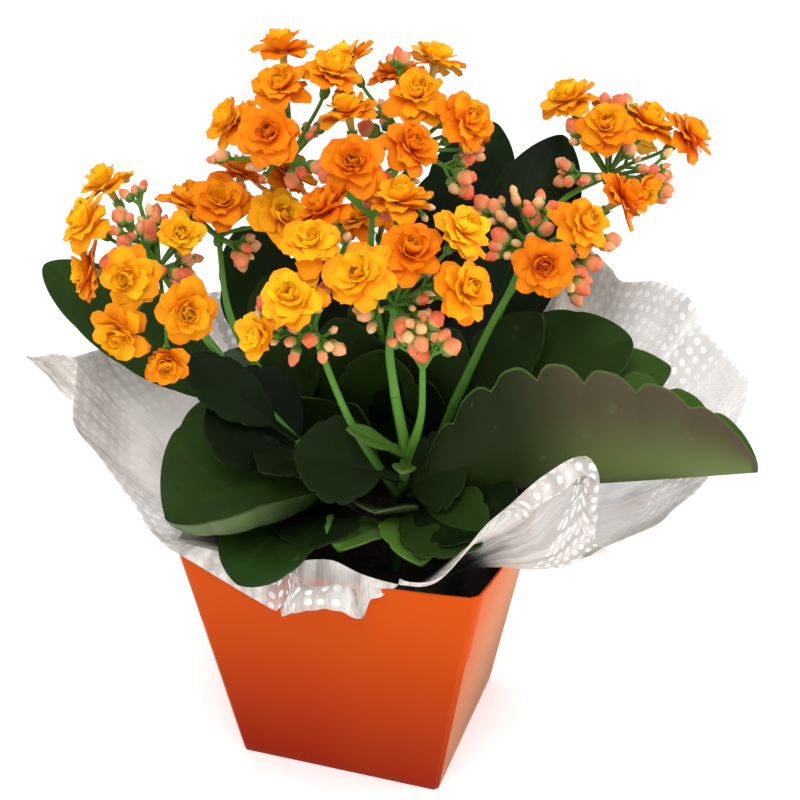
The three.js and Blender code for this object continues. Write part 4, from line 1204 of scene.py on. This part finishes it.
def sprays_of(head):
    """The sprays of one head, as (knot, direction, reach, count)."""
    groups = [(HEADS[head]["hub"], HEADS[head]["sprays"] + MORE_SPRAYS[head])]
    if head in SIDE_KNOTS:
        groups.append(SIDE_KNOTS[head])
    return [(vector(*knot), heading(azimuth, elevation), reach, count)
            for knot, sprays in groups for azimuth, elevation, reach, count in sprays]


def bud_places(head, number):
    """The buds of one head, as (foot, direction, length, pedicel's start, tint)."""
    draw = random.Random(BUD_SEED + number)
    buds = []
    for knot, axis, reach, count in sprays_of(head):
        fork = knot + axis * (reach - BUD_LENGTH - FORK_GAP)
        across, along = crossways(axis, draw.uniform(0, 90))
        for i in range(count + 1):
            turn = math.tau * i / count + draw.uniform(-0.4, 0.4)
            lean = 0.0 if i == 0 else draw.uniform(0.5, 1.1)
            way = unit(axis + across * lean * math.cos(turn) + along * lean * math.sin(turn))
            foot = fork + way * draw.uniform(2.5, 5.5)
            length = BUD_LENGTH * draw.choice(BUD_SIZES)
            if not in_bloom(foot + way * length * 0.7):
                buds.append((foot, way, length, fork, draw.choice(BUD_TINTS)))
    return buds


# ---------------------------------------------------------------- shoots
STEM_SIDES = 12
PEDICEL_SIDES = 7
CALYX_SIDES = 16
TUBE_SIDES = 10

# Rings of a calyx, as (height and radius as shares of its own, and how far its sepals rise there).
CALYX_RINGS = [(-1.0, 0.30, 0), (-0.85, 0.62, 0), (-0.5, 0.86, 0), (-0.1, 0.95, 0.35), (0.0, 0.86, 0.55),
               (-0.2, 0.70, 0.3), (-0.5, 0.5, 0)]

# Rings of the knot where the stalks of a head meet, as (height, radius).
HUB_RINGS = [(-3.2, 1.6), (-2, 2.1), (0, HUB_RADIUS), (1.6, 1.8), (2.4, 0.7)]


def add_tube(solid, line, radii, sides, blush=0.0):
    points, faces = skin(tube_rings(line, radii, sides))
    solid.add(points, faces, blush=ring_values(np.broadcast_to(blush, len(line)), sides))


def add_stem(solid, route, first, last):
    """Adds a stem or stalk between two radii, with faint swellings along it."""
    share = np.linspace(0, 1, 8 * (len(route) - 1) + 1)
    swell = 1 + 0.05 * np.sin(9 * share + route[0][0])
    add_tube(solid, walk(route, share), mix(first, last, share) * swell, STEM_SIDES)


def add_calyx(solid, seat, axis, size):
    """A green cup with four pointed sepals, and the slim flower tube that stands out of it."""
    turns = full_turn(CALYX_SIDES)
    across, along = crossways(axis, 10)
    circle = np.outer(np.cos(turns), across) + np.outer(np.sin(turns), along)
    rings = []
    for height, radius, point in CALYX_RINGS:
        rise = height * CALYX_LENGTH + point * CALYX_LENGTH * np.cos(2 * turns) ** 2
        reach = radius * CALYX_RADIUS * size
        rings.append(seat + rise[:, None] * axis + reach * circle)
    points, faces = skin(rings)
    solid.add(points, faces)
    share = np.linspace(0, 1, 6)
    line = [seat + axis * mix(-1.6, BLOOM_TUBE + 0.6, t) for t in share]
    radii = size * (1.15 + 0.8 * share ** 2)
    add_tube(solid, line, radii, TUBE_SIDES, smooth(share * 1.3) * 0.9)


def shoot_solid(name):
    """The stems, stalks, hubs, pedicels, calyces and leaves of one shoot."""
    solid = Solid("along", "blush", "edge", "under", "tint", "ruddy", "dim")
    shoot = SHOOTS[name]
    add_stem(solid, shoot["route"], STEM_RADIUS, STALK_RADIUS + STALK_TAPER)
    for stalk in shoot["stalks"]:
        add_stem(solid, stalk, STALK_RADIUS + STALK_TAPER, STALK_RADIUS - STALK_TAPER)
    for i, shape in enumerate(shoot["leaves"] + INNER_LEAVES[name]):
        leaf(solid, shoot["route"], shape, seed=f"{name}{i}")
    for number, (head, entry) in enumerate(HEADS.items()):
        if entry["shoot"] == name:
            add_head(solid, head, number)
    return solid


def add_head(solid, head, number):
    """The knot of one head and what branches from it, but not its petals and buds."""
    hub, up = vector(*HEADS[head]["hub"]), heading(0, 90)
    heights, radii = zip(*HUB_RINGS)
    add_tube(solid, [hub + up * height for height in heights], radii, STEM_SIDES)
    for bloom in [bloom for bloom in BLOOMS if bloom["head"] == head]:
        axis = bloom["axis"]
        seat = bloom["centre"] - axis * (BLOOM_TUBE + SEAT)
        foot = seat - axis * CALYX_LENGTH
        way = unit(foot - hub)
        line = bent_line(hub + way * 0.8, foot + axis * 0.5, unit(way + up * 0.4), axis, 9)
        add_tube(solid, line, np.linspace(1.2, 1.0, 10) * PEDICEL_RADIUS, PEDICEL_SIDES)
        add_calyx(solid, seat, axis, bloom_size(bloom["open"]))
    for foot, way, _, fork, _ in bud_places(head, number):
        line = bent_line(fork, foot + way * 0.4, unit(foot - fork), way, 4)
        add_tube(solid, line, np.linspace(0.8, 0.65, 5), PEDICEL_SIDES)
    for knot, axis, reach, _ in sprays_of(head):
        end = knot + axis * (reach - BUD_LENGTH - FORK_GAP)
        add_tube(solid, bent_line(knot, end, axis, axis, 5), np.linspace(0.95, 0.8, 6), PEDICEL_SIDES)


# ---------------------------------------------------------------- film
def film_line(azimuth, reach, height, lift, kept):
    """Points (reach, height) of the film along one azimuth, from under the pot to where its curl starts."""
    quarter = math.radians((azimuth + 45) % 90 - 45)
    rim = COVER_TOP / 2 / math.cos(quarter) + COVER_BOW * (1 - math.tan(quarter) ** 2)
    lip = POT_TOP_RADIUS + POT_LIP + FILM_PLAY + FILM_THICKNESS / 2
    floor = vector(POT_BASE_RADIUS + FILM_PLAY + FILM_THICKNESS / 2, COVER_WALL + SEAT + FILM_THICKNESS / 2)
    under_lip = vector(lip, POT_TOP - POT_LIP_HEIGHT)
    neck = vector(lip, POT_TOP)
    share = (rim - lip) / max(reach - lip, rim - lip)
    slope = neck[1] + share * (height - neck[1])
    crest = vector(rim + FILM_RIM_GAP, max(COVER_HEIGHT + FILM_OVER_RIM + lift, slope))
    edge = vector(reach, height)
    sag = (FILM_ROLL if height < crest[1] else 1) * FILM_SAG * np.linalg.norm(edge - crest)

    def between(t):
        return mix(crest, edge, t) + 4 * t * (1 - t) * sag * vector(FILM_SPREAD, -1)

    low = [mix(floor, under_lip, t) for t in np.linspace(0, 1, FILM_LOW_ROWS + 1)[:-1]]
    stations = [low[-1], under_lip, neck, crest, between(0.25), between(0.5), between(0.75), edge]
    inner = np.linspace(1, 3, 2 * FILM_STEPS + 1)
    outer = 3 + 4 * kept * np.linspace(0, 1, 4 * FILM_STEPS + 1)[1:]
    shares = np.concatenate([inner, outer]) / (len(stations) - 1)
    fine = [route_point([(*p, 0) for p in stations], t)[:2] for t in shares]
    return np.array(low + fine)


def curl(line, length, radius):
    """The line with its end carried on round a curl that turns away from the plant and winds in on itself."""
    way = unit(line[-1] - line[-2])
    spin = 1 if way[1] < 0 else -1
    place, added = line[-1], []
    for k in range(CURL_STEPS):
        angle = spin * length / CURL_STEPS / (radius * (1 - CURL_TIGHTENING * k / CURL_STEPS))
        way = vector(way[0] * math.cos(angle) - way[1] * math.sin(angle),
                     way[0] * math.sin(angle) + way[1] * math.cos(angle))
        place = place + way * length / CURL_STEPS
        added.append(place)
    return np.concatenate([line, added])


def from_middle(around, middle, width):
    """How far each azimuth is from a middle, as a share of the width, from -1 to 1 within it."""
    return ((np.degrees(around) - middle + 180) % 360 - 180) / width


def film_lines(around, edge):
    """The film's lines along each azimuth, with its curled stretches but without its pleats and crumples."""
    kept = np.ones(FILM_COLUMNS)
    lengths = np.full(FILM_COLUMNS, PLAIN_CURL_LENGTH)
    radii = np.full(FILM_COLUMNS, PLAIN_CURL_RADIUS)
    for middle, width, longest, radius, share in FILM_CURLS:
        amount = smooth(1.6 * (1 - np.abs(from_middle(around, middle, width))))
        kept = np.minimum(kept, mix(1, share, amount ** 0.4))
        lengths = np.maximum(lengths, longest * amount ** 2)
        radii = np.where(amount > 0, mix(PLAIN_CURL_RADIUS, radius, amount), radii)
    lines = []
    for i, (reach, height, lift) in enumerate(edge):
        line = film_line(math.degrees(around[i]), reach, height, lift, kept[i])
        lines.append(curl(line, lengths[i], radii[i]))
    return np.array(lines)


def folded_film(lines, lengths, turn):
    """The film's points once it is crumpled and laid in pleats, and how far in a pleat each of them is."""
    from_crest = lengths - lengths[:, CREST_ROW:CREST_ROW + 1]
    whole = from_crest[:, -1:]
    rim = smooth(from_crest / np.minimum(34, 0.45 * whole))
    along = np.gradient(lines, axis=1)
    along /= np.linalg.norm(along, axis=-1, keepdims=True)
    square = np.stack([-along[..., 1], along[..., 0]], axis=-1)
    waves = 0.8 * np.sin(23 * turn) + 0.5 * np.sin(41 * turn + 1.0) + 0.3 * np.sin(67 * turn + 2.0)
    crumple = (np.sin(17 * turn + 0.10 * lengths) * np.sin(0.13 * lengths + 6 * turn)
               + 0.6 * np.sin(29 * turn - 0.17 * lengths) * np.sin(0.21 * lengths + 11 * turn))
    raised = (0.8 * waves + 0.8 * crumple) * rim * np.minimum(1, whole / 60) ** 2
    shift = np.zeros_like(lengths)
    pleated = np.zeros_like(lengths)
    for middle, width, depth in FILM_PLEATS:
        t = from_middle(turn, middle, width)
        bend = np.where(np.abs(t) < 1, np.sin(math.pi * t), 0.0) * rim
        shift -= depth * math.radians(width) * bend
        raised = raised + PLEAT_GAP * bend
        pleated = np.maximum(pleated, np.where(np.abs(t) < 0.75, 1 - np.abs(t), 0.0) * rim)
    reach, height = np.moveaxis(lines + raised[..., None] * square, -1, 0)
    turned_to = turn + shift
    return np.stack([reach * np.sin(turned_to), -reach * np.cos(turned_to), height], axis=-1), pleated


def film_tones(lengths, turn):
    """How visible each of the film's points is, how far in from the edge it lies, and how faded it is."""
    left = lengths[:, -1:] - lengths
    from_neck = lengths - lengths[:, NECK_ROW:NECK_ROW + 1]
    veil = smooth((from_neck / from_neck[:, CREST_ROW:CREST_ROW + 1] - 0.5) / 0.45)
    clear = np.clip(1.5 * (1 - np.abs(from_middle(turn, *FILM_CLEAR))), 0, 1)
    veil = veil * (1 - clear * smooth((left - FILM_EDGE_BAND) / FILM_EDGE_BAND))
    faded = sum(smooth(1.8 * (1 - np.abs(from_middle(turn, *fade)))) for fade in FILM_FADES)
    return veil, left, np.clip(faded, 0, 1) * np.ones_like(lengths)


def lay_flat(mesh, left, row):
    """Gives the film its flat pattern, in metres: the way round along a row, and the way in from its edge."""
    hops = np.linalg.norm(np.diff(np.concatenate([row, row[:1]]), axis=0), axis=1)
    way_round = np.concatenate([[0], np.cumsum(hops)])
    flat = mesh.uv_layers.new(name="sheet")
    spots = []
    for polygon in mesh.polygons:
        numbers = [mesh.loops[k].vertex_index for k in polygon.loop_indices]
        columns = [number % FILM_COLUMNS for number in numbers]
        wrapped = max(columns) - min(columns) > FILM_COLUMNS // 2
        for number, column in zip(numbers, columns):
            place = FILM_COLUMNS if wrapped and column == 0 else column
            gap = left[column, number // FILM_COLUMNS] if number < left.size else 0.0
            spots += [way_round[place] * MM, gap * MM]
    flat.data.foreach_set("uv", spots)


def film_piece(material):
    """The film as one thin sheet, gathered under and round the pot, with its pleats, crumples and curls."""
    table = [(*entry, 0)[:4] for entry in FILM_EDGE]
    azimuths = np.unwrap([math.radians(entry[0]) for entry in table])
    places = np.linspace(0, len(table), FILM_COLUMNS, endpoint=False)
    closed = np.append(azimuths, azimuths[0] + math.tau)
    around = np.interp(places, np.arange(len(table) + 1), closed)
    lines = film_lines(around, through([entry[1:] for entry in table], places))
    steps = np.linalg.norm(np.diff(lines, axis=1), axis=-1)
    lengths = np.concatenate([np.zeros((FILM_COLUMNS, 1)), np.cumsum(steps, axis=1)], axis=1)
    turn = around[:, None]
    points, pleated = folded_film(lines, lengths, turn)
    veil, left, faded = film_tones(lengths, turn)

    points = points.transpose(1, 0, 2)
    index = np.arange(left.size).reshape(-1, FILM_COLUMNS)
    faces = quads(index, closed=True).tolist()
    faces += [[(i + 1) % FILM_COLUMNS, i, left.size] for i in range(FILM_COLUMNS)]
    floor = vector(0, 0, points[0, 0, 2])
    mesh = new_mesh("wrap_film_sheet", np.concatenate([points.reshape(-1, 3), [floor]]), faces)
    mesh.polygons.foreach_set("use_smooth", [True] * len(mesh.polygons))
    for name, values in (("veil", veil), ("left", left * MM), ("pleated", pleated), ("faded", faded)):
        give_values(mesh, name, np.append(values.T.ravel(), 0.0))
    lay_flat(mesh, left, points[UNROLLED_ROW])
    mesh.materials.append(material)
    mesh.update()
    return show("wrap_film_sheet", mesh)


# ---------------------------------------------------------------- cover, pot and soil
COVER_LEVELS = 24
COVER_POINTS = 24
CORNER_ROUND = 0.12
POT_SIDES = 96
SOIL_SIDES = 72
SOIL_LUMP = 0.5
SOIL_SEED = 7

# Crumbs on the soil: how many to a square metre, and the disc that they are strewn over.
CRUMBS_EACH_SQUARE_METRE = 26000.0
CRUMB_SEED = 3
CRUMB_DISC_SIDES = 48


def cover_ring(height, inset):
    """The cover's outline at a height, moved in by inset, with barely rounded corners."""
    share = max(0.0, height / COVER_HEIGHT)
    half = mix(COVER_BASE, COVER_TOP, height / COVER_HEIGHT) / 2 - inset
    bow = COVER_BOW * share ** 2
    ring = []
    for wall in range(4):
        turn = wall * math.pi / 2
        for k in range(COVER_POINTS):
            s = 2 * (k + 0.5) / COVER_POINTS - 1
            s = math.copysign(min(abs(s) * (1 + CORNER_ROUND / COVER_POINTS), 1 - 0.4 / half), s)
            x, y = half * s, -half - bow * (1 - s * s)
            ring.append((x * math.cos(turn) - y * math.sin(turn), x * math.sin(turn) + y * math.cos(turn),
                         height))
    return ring


def cover_solid():
    """The cover, its inside in a second material."""
    up = np.linspace(0.5, COVER_HEIGHT - 0.3, COVER_LEVELS)
    down = np.linspace(COVER_HEIGHT - 0.3, COVER_WALL + 0.2, COVER_LEVELS)
    outer = [cover_ring(height, 0.0) for height in up]
    inner = [cover_ring(height, COVER_WALL) for height in down]
    rings = [cover_ring(0.0, 3.0), cover_ring(0.0, 0.4), *outer, cover_ring(COVER_HEIGHT, 0.35),
             cover_ring(COVER_HEIGHT, COVER_WALL - 0.35), *inner, cover_ring(COVER_WALL, COVER_WALL + 0.3)]
    solid = Solid()
    solid.add(*skin(rings))
    first_inside = (len(outer) + 3) * len(rings[0])
    solid.slots = [1 if min(face) >= first_inside else 0 for face in solid.faces]
    return solid


def turned(outline, sides):
    """A closed round body from a closed outline of (radius, height)."""
    rings = [level_ring(radius, height, sides) for radius, height in outline]
    index = np.arange(len(rings) * sides).reshape(len(rings), sides)
    closed = np.concatenate([index, index[:1]])
    return np.concatenate(rings), quads(closed, closed=True).tolist()


def pot_radius(height):
    return mix(POT_BASE_RADIUS, POT_TOP_RADIUS, (height - POT_FLOOR) / POT_HEIGHT)


def pot_solid():
    """The nursery pot, with a lip round its top and a hole in its floor."""
    lip = POT_TOP - POT_LIP_HEIGHT
    out = POT_TOP_RADIUS + POT_LIP
    outline = [
        (POT_DRAIN_RADIUS, POT_FLOOR), (POT_BASE_RADIUS - 0.8, POT_FLOOR), (POT_BASE_RADIUS, POT_FLOOR + 0.8),
        (pot_radius(lip - 1), lip - 1), (out - 0.4, lip), (out, lip + 0.5), (out, POT_TOP - 0.7),
        (out - 0.3, POT_TOP - 0.15), (out - POT_WALL / 2, POT_TOP), (out - POT_WALL + 0.2, POT_TOP - 0.2),
        (out - POT_WALL, POT_TOP - 0.8), (pot_radius(lip) - POT_WALL, lip),
        (POT_BASE_RADIUS - POT_WALL, POT_FLOOR + POT_WALL), (POT_DRAIN_RADIUS, POT_FLOOR + POT_WALL),
    ]
    solid = Solid()
    solid.add(*turned(outline, POT_SIDES))
    return solid


def soil_solid():
    """A plug of soil with a lumpy top."""
    floor = POT_FLOOR + POT_WALL + SEAT
    draw = random.Random(SOIL_SEED)

    def inside(height):
        return pot_radius(height) - POT_WALL - 1.5 * SEAT

    def ring(radius, height, lump):
        lumps = np.array([draw.uniform(-1, 1) for _ in range(SOIL_SIDES)])
        return level_ring(radius, height + lump * lumps, SOIL_SIDES)

    wide = inside(SOIL_TOP)
    rings = [ring(1, floor, 0), ring(inside(floor), floor, 0), ring(wide, SOIL_TOP - 0.5, 0)]
    for share in np.linspace(0.97, 0.06, 16):
        rings.append(ring(wide * share, SOIL_TOP + SOIL_CROWN * (1 - share), SOIL_LUMP))
    solid = Solid()
    solid.add(*skin(rings))
    return solid


# ---------------------------------------------------------------- what a user would change
def length(name, description, millimetres):
    return bpy.props.FloatProperty(
        name=name, description=description, default=millimetres * MM, unit="LENGTH", precision=4)


def colour(name, description, code):
    return bpy.props.FloatVectorProperty(
        name=name, description=description, default=shade(code), size=4, subtype="COLOR", min=0, max=1)


def factor(name, description, default, most=1.0):
    return bpy.props.FloatProperty(
        name=name, description=description, default=default, min=0, max=most, subtype="FACTOR")


class KalanchoeSettings(bpy.types.PropertyGroup):
    """Sizes and colours of the potted kalanchoe."""

    petal: colour("Petal", "Colour of the outer half of a petal", "F28A08")
    # painted shade: the colour deep in a bloom, where its petals shade each other
    petal_claw_shade: colour("Petal claw", "Colour deep in a bloom", "D03C00")
    petal_margin: colour("Petal margin", "Colour along a petal's margin", "E05A04")
    bud: colour("Bud", "Colour of the tip of a large bud", "E46A40")
    bud_pale: colour("Young bud", "Colour of the tip of a small bud", "E6C084")
    leaf: colour("Leaf", "Colour of the lighter patches of a leaf", "1A3410")
    leaf_deep: colour("Leaf shade", "Colour of the darker patches of a leaf", "0B1A07")
    stem: colour("Stem", "Colour of a flower stalk", "52862A")
    card: colour("Cover", "Colour of the cover at its rim", "C84C08")
    # painted shade: the cover's colour at its base, darkened as if in shade
    card_low_shaded: colour("Cover base", "Colour of the cover at its base", "861200")
    # painted shade: the cover's inside, coloured as dark as the shade in it
    shaded_lining: colour("Lining", "Colour of the cover's inside", "140804")
    film_opacity: factor("Film opacity", "How much of what lies behind the film it hides", 0.6)
    bloom_size: factor("Bloom size", "Size of the petals, as a share of the model's", 1.0, most=2.0)
    bud_size: factor("Bud size", "Size of the buds, as a share of the model's", 1.0, most=2.0)
    crumb_smallest: length("Smallest crumb", "Radius of the smallest crumbs of soil", 0.5)
    crumb_largest: length("Largest crumb", "Radius of the largest crumbs of soil", 1.7)
    camera_distance: length("Camera distance", "From the camera to the middle of the picture", 585)


class Step(bpy.types.Operator):
    """What all the steps share: the place of the settings, and how a finished piece is handed over."""

    bl_options = {"REGISTER"}

    @property
    def settings(self):
        return bpy.context.scene.kalanchoe

    def hand_over(self, piece, slot, nodes):
        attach(piece, BODY)
        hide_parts(*nodes)
        return piece


class KALANCHOE_OT_cover(Step):
    """Build the tapered orange cover"""

    bl_idname = "kalanchoe.cover"
    bl_label = "Cover"

    def execute(self, context):
        card = card_finish(self.settings.card, self.settings.card_low_shaded)
        shaded_lining = shaded_lining_finish(self.settings.shaded_lining)
        self.hand_over(cover_solid().piece("orange_cover", card, shaded_lining, sharp=40), "cover_card", ["cover"])
        return {"FINISHED"}


class KALANCHOE_OT_film(Step):
    """Build the dotted film that is gathered round the plant"""

    bl_idname = "kalanchoe.film"
    bl_label = "Film"

    def execute(self, context):
        piece = self.hand_over(film_piece(film_finish(self.settings.film_opacity)), "film", ["wrap_film"])
        return {"FINISHED"}


class KALANCHOE_OT_pot(Step):
    """Build the nursery pot and its soil with crumbs"""

    bl_idname = "kalanchoe.pot"
    bl_label = "Pot and soil"

    def execute(self, context):
        self.hand_over(pot_solid().piece("black_pot", pot_finish(), sharp=50), "pot_plastic", ["nursery_pot"])
        peat = soil_finish("peat", shade("0C0805"), shade("1E150E"))
        self.hand_over(soil_solid().piece("peat_soil", peat), "soil", ["soil"])
        crumbs = soil_finish("crumb", shade("140D08"), shade("2A1E14"))
        self.hand_over(self.strew("soil_crumbs", crumbs), "soil", ["soil"])
        return {"FINISHED"}

    def strew(self, name, material):
        """Crumbs on a low cone as wide as the soil."""
        rim = level_ring(pot_radius(SOIL_TOP) - POT_WALL - 2.5, SOIL_TOP, CRUMB_DISC_SIDES)
        middle = vector(0, 0, SOIL_TOP + SOIL_CROWN - 0.2)
        faces = [[i, (i + 1) % CRUMB_DISC_SIDES, CRUMB_DISC_SIDES] for i in range(CRUMB_DISC_SIDES)]
        host = show(name, new_mesh(name, np.concatenate([rim, [middle]]), faces))
        settings = self.settings
        return grow(name, host, crumbs_tree(), Density=CRUMBS_EACH_SQUARE_METRE, Seed=CRUMB_SEED,
                    Smallest=settings.crumb_smallest, Largest=settings.crumb_largest, Material=material)


class KALANCHOE_OT_shoots(Step):
    """Build the stems, leaves and calyces of each shoot"""

    bl_idname = "kalanchoe.shoots"
    bl_label = "Shoots"

    def execute(self, context):
        stem = stem_finish(self.settings.stem)
        green = leaf_finish(self.settings.leaf, self.settings.leaf_deep)
        for name in SHOOTS:
            piece = shoot_solid(name).piece(f"leafy_shoot_{name}", stem, green, sharp=75)
            self.hand_over(piece, "plant_flesh", [f"shoot_{name}"])
        return {"FINISHED"}


class KALANCHOE_OT_blooms(Step):
    """Build the double blooms of each head"""

    bl_idname = "kalanchoe.blooms"
    bl_label = "Blooms"

    def execute(self, context):
        settings = self.settings
        material = petal_finish(settings.petal, settings.petal_claw_shade, settings.petal_margin)
        masters, tree = petal_masters(), copies_tree()
        for head in HEADS:
            copies, nodes = [], []
            for number, bloom in enumerate(BLOOMS):
                if bloom["head"] == head:
                    copies += bloom_copies(bloom, number)
                    nodes.append(bloom["node"])
            host = stand_points(f"points_{head}", copies)
            piece = grow(f"blooms_{head}", host, tree, Masters=masters, Size=settings.bloom_size,
                         Material=material)
            self.hand_over(piece, "petals", nodes)
        return {"FINISHED"}


class KALANCHOE_OT_buds(Step):
    """Build the buds of each head"""

    bl_idname = "kalanchoe.buds"
    bl_label = "Buds"

    def execute(self, context):
        settings = self.settings
        material = bud_finish(settings.bud, settings.bud_pale)
        masters, tree = bud_masters(), copies_tree()
        for number, (head, entry) in enumerate(HEADS.items()):
            draw = random.Random(BUD_TURN_SEED + number)
            copies = []
            for foot, way, long, _, tint in bud_places(head, number):
                sideways, above = crossways(way, draw.uniform(0, 360))
                size = long * (1.2 - 0.35 * tint)
                copies.append((foot, [way, sideways, above], size, draw.choice((0, 0, 1, 2)), tint))
            host = stand_points(f"points_{head}_buds", copies)
            piece = grow(f"buds_{head}", host, tree, Masters=masters, Size=settings.bud_size,
                         Material=material)
            self.hand_over(piece, "plant_flesh", [f"shoot_{entry['shoot']}"])
        return {"FINISHED"}


# The lights, as (place in metres, size, power), where they aim, and the light of the room.
KEY_LIGHT = ((0.15, -0.85, 1.15), 0.6, 6.5)
SIDE_LIGHT = ((1.05, 0.10, 0.55), 0.7, 5)
LIGHT_AIM = (0, 0, 0.14)
ROOM_LIGHT = 0.88
FLOOR_RADIUS = 5
FLOOR_SIDES = 64

# The picture's own viewpoint, its middle in the model's frame, and its lens on a sensor 36 wide.
CAMERA_AZIMUTH, CAMERA_ELEVATION, CAMERA_ROLL = 17.4, 23.9, 0.87
CAMERA_TARGET = (10.7, 0, 149)
CAMERA_LENS = 67.5
CAMERA_SENSOR = 36


class KALANCHOE_OT_stage(Step):
    """Set up the pale floor, the soft light and the camera"""

    bl_idname = "kalanchoe.stage"
    bl_label = "Stage"

    def execute(self, context):
        context.scene.view_settings.view_transform = "Standard"
        self.floor()
        self.world()
        self.lamp("key_light", *KEY_LIGHT)
        self.lamp("side_light", *SIDE_LIGHT)
        self.camera()
        return {"FINISHED"}

    def floor(self):
        mesh = bpy.data.meshes.new("floor")
        turns = full_turn(FLOOR_SIDES)
        points = [(FLOOR_RADIUS * math.cos(a), FLOOR_RADIUS * math.sin(a), 0.0) for a in turns]
        mesh.from_pydata(points, [], [list(range(FLOOR_SIDES))])
        mesh.materials.append(floor_finish())
        show("floor", mesh)

    def world(self):
        world = bpy.data.worlds.new("soft_room")
        bpy.context.scene.world = world
        world.use_nodes = True
        background = world.node_tree.nodes["Background"]
        background.inputs["Color"].default_value = (1, 1, 1, 1)
        background.inputs["Strength"].default_value = ROOM_LIGHT

    def lamp(self, name, place, size, power):
        light = bpy.data.lights.new(name, "AREA")
        light.size = size
        light.energy = power
        lamp = show(name, light)
        lamp.location = place
        aim = Vector(LIGHT_AIM) - Vector(place)
        lamp.rotation_euler = aim.to_track_quat("-Z", "Y").to_euler()

    def camera(self):
        """The picture's own viewpoint: heading, height, roll and lens."""
        back = heading(CAMERA_AZIMUTH, CAMERA_ELEVATION)
        right = unit(np.cross(vector(0, 0, 1), back))
        above = np.cross(back, right)
        roll = math.radians(CAMERA_ROLL)
        turned_right = right * math.cos(roll) + above * math.sin(roll)
        turned_up = above * math.cos(roll) - right * math.sin(roll)
        place = vector(*CAMERA_TARGET) * MM + back * self.settings.camera_distance
        data = bpy.data.cameras.new("camera")
        data.lens = CAMERA_LENS
        data.sensor_width = CAMERA_SENSOR
        data.clip_start = 0.02
        camera = show("camera", data)
        turn = Matrix(np.array([turned_right, turned_up, back]).T.tolist()).to_4x4()
        camera.matrix_world = Matrix.Translation(place) @ turn
        bpy.context.scene.camera = camera


STEPS = (KALANCHOE_OT_stage, KALANCHOE_OT_cover, KALANCHOE_OT_film, KALANCHOE_OT_pot, KALANCHOE_OT_shoots,
         KALANCHOE_OT_blooms, KALANCHOE_OT_buds)


class KALANCHOE_PT_panel(bpy.types.Panel):
    """The settings and the steps that build the plant"""

    bl_idname = "KALANCHOE_PT_panel"
    bl_label = "Kalanchoe"
    bl_space_type = "VIEW_3D"
    bl_region_type = "UI"
    bl_category = "Kalanchoe"

    def draw(self, context):
        for name in KalanchoeSettings.__annotations__:
            self.layout.prop(context.scene.kalanchoe, name)
        for step in STEPS:
            self.layout.operator(step.bl_idname)


CLASSES = (KalanchoeSettings, *STEPS, KALANCHOE_PT_panel)


def register():
    for item in CLASSES:
        bpy.utils.register_class(item)
    bpy.types.Scene.kalanchoe = bpy.props.PointerProperty(type=KalanchoeSettings)


def unregister():
    del bpy.types.Scene.kalanchoe
    for item in reversed(CLASSES):
        bpy.utils.unregister_class(item)


def main():
    register()
    bpy.ops.kalanchoe.stage()
    bpy.ops.kalanchoe.cover()
    bpy.ops.kalanchoe.film()
    bpy.ops.kalanchoe.pot()
    bpy.ops.kalanchoe.shoots()
    bpy.ops.kalanchoe.blooms()
    bpy.ops.kalanchoe.buds()


if __name__ == "__main__":
    main()
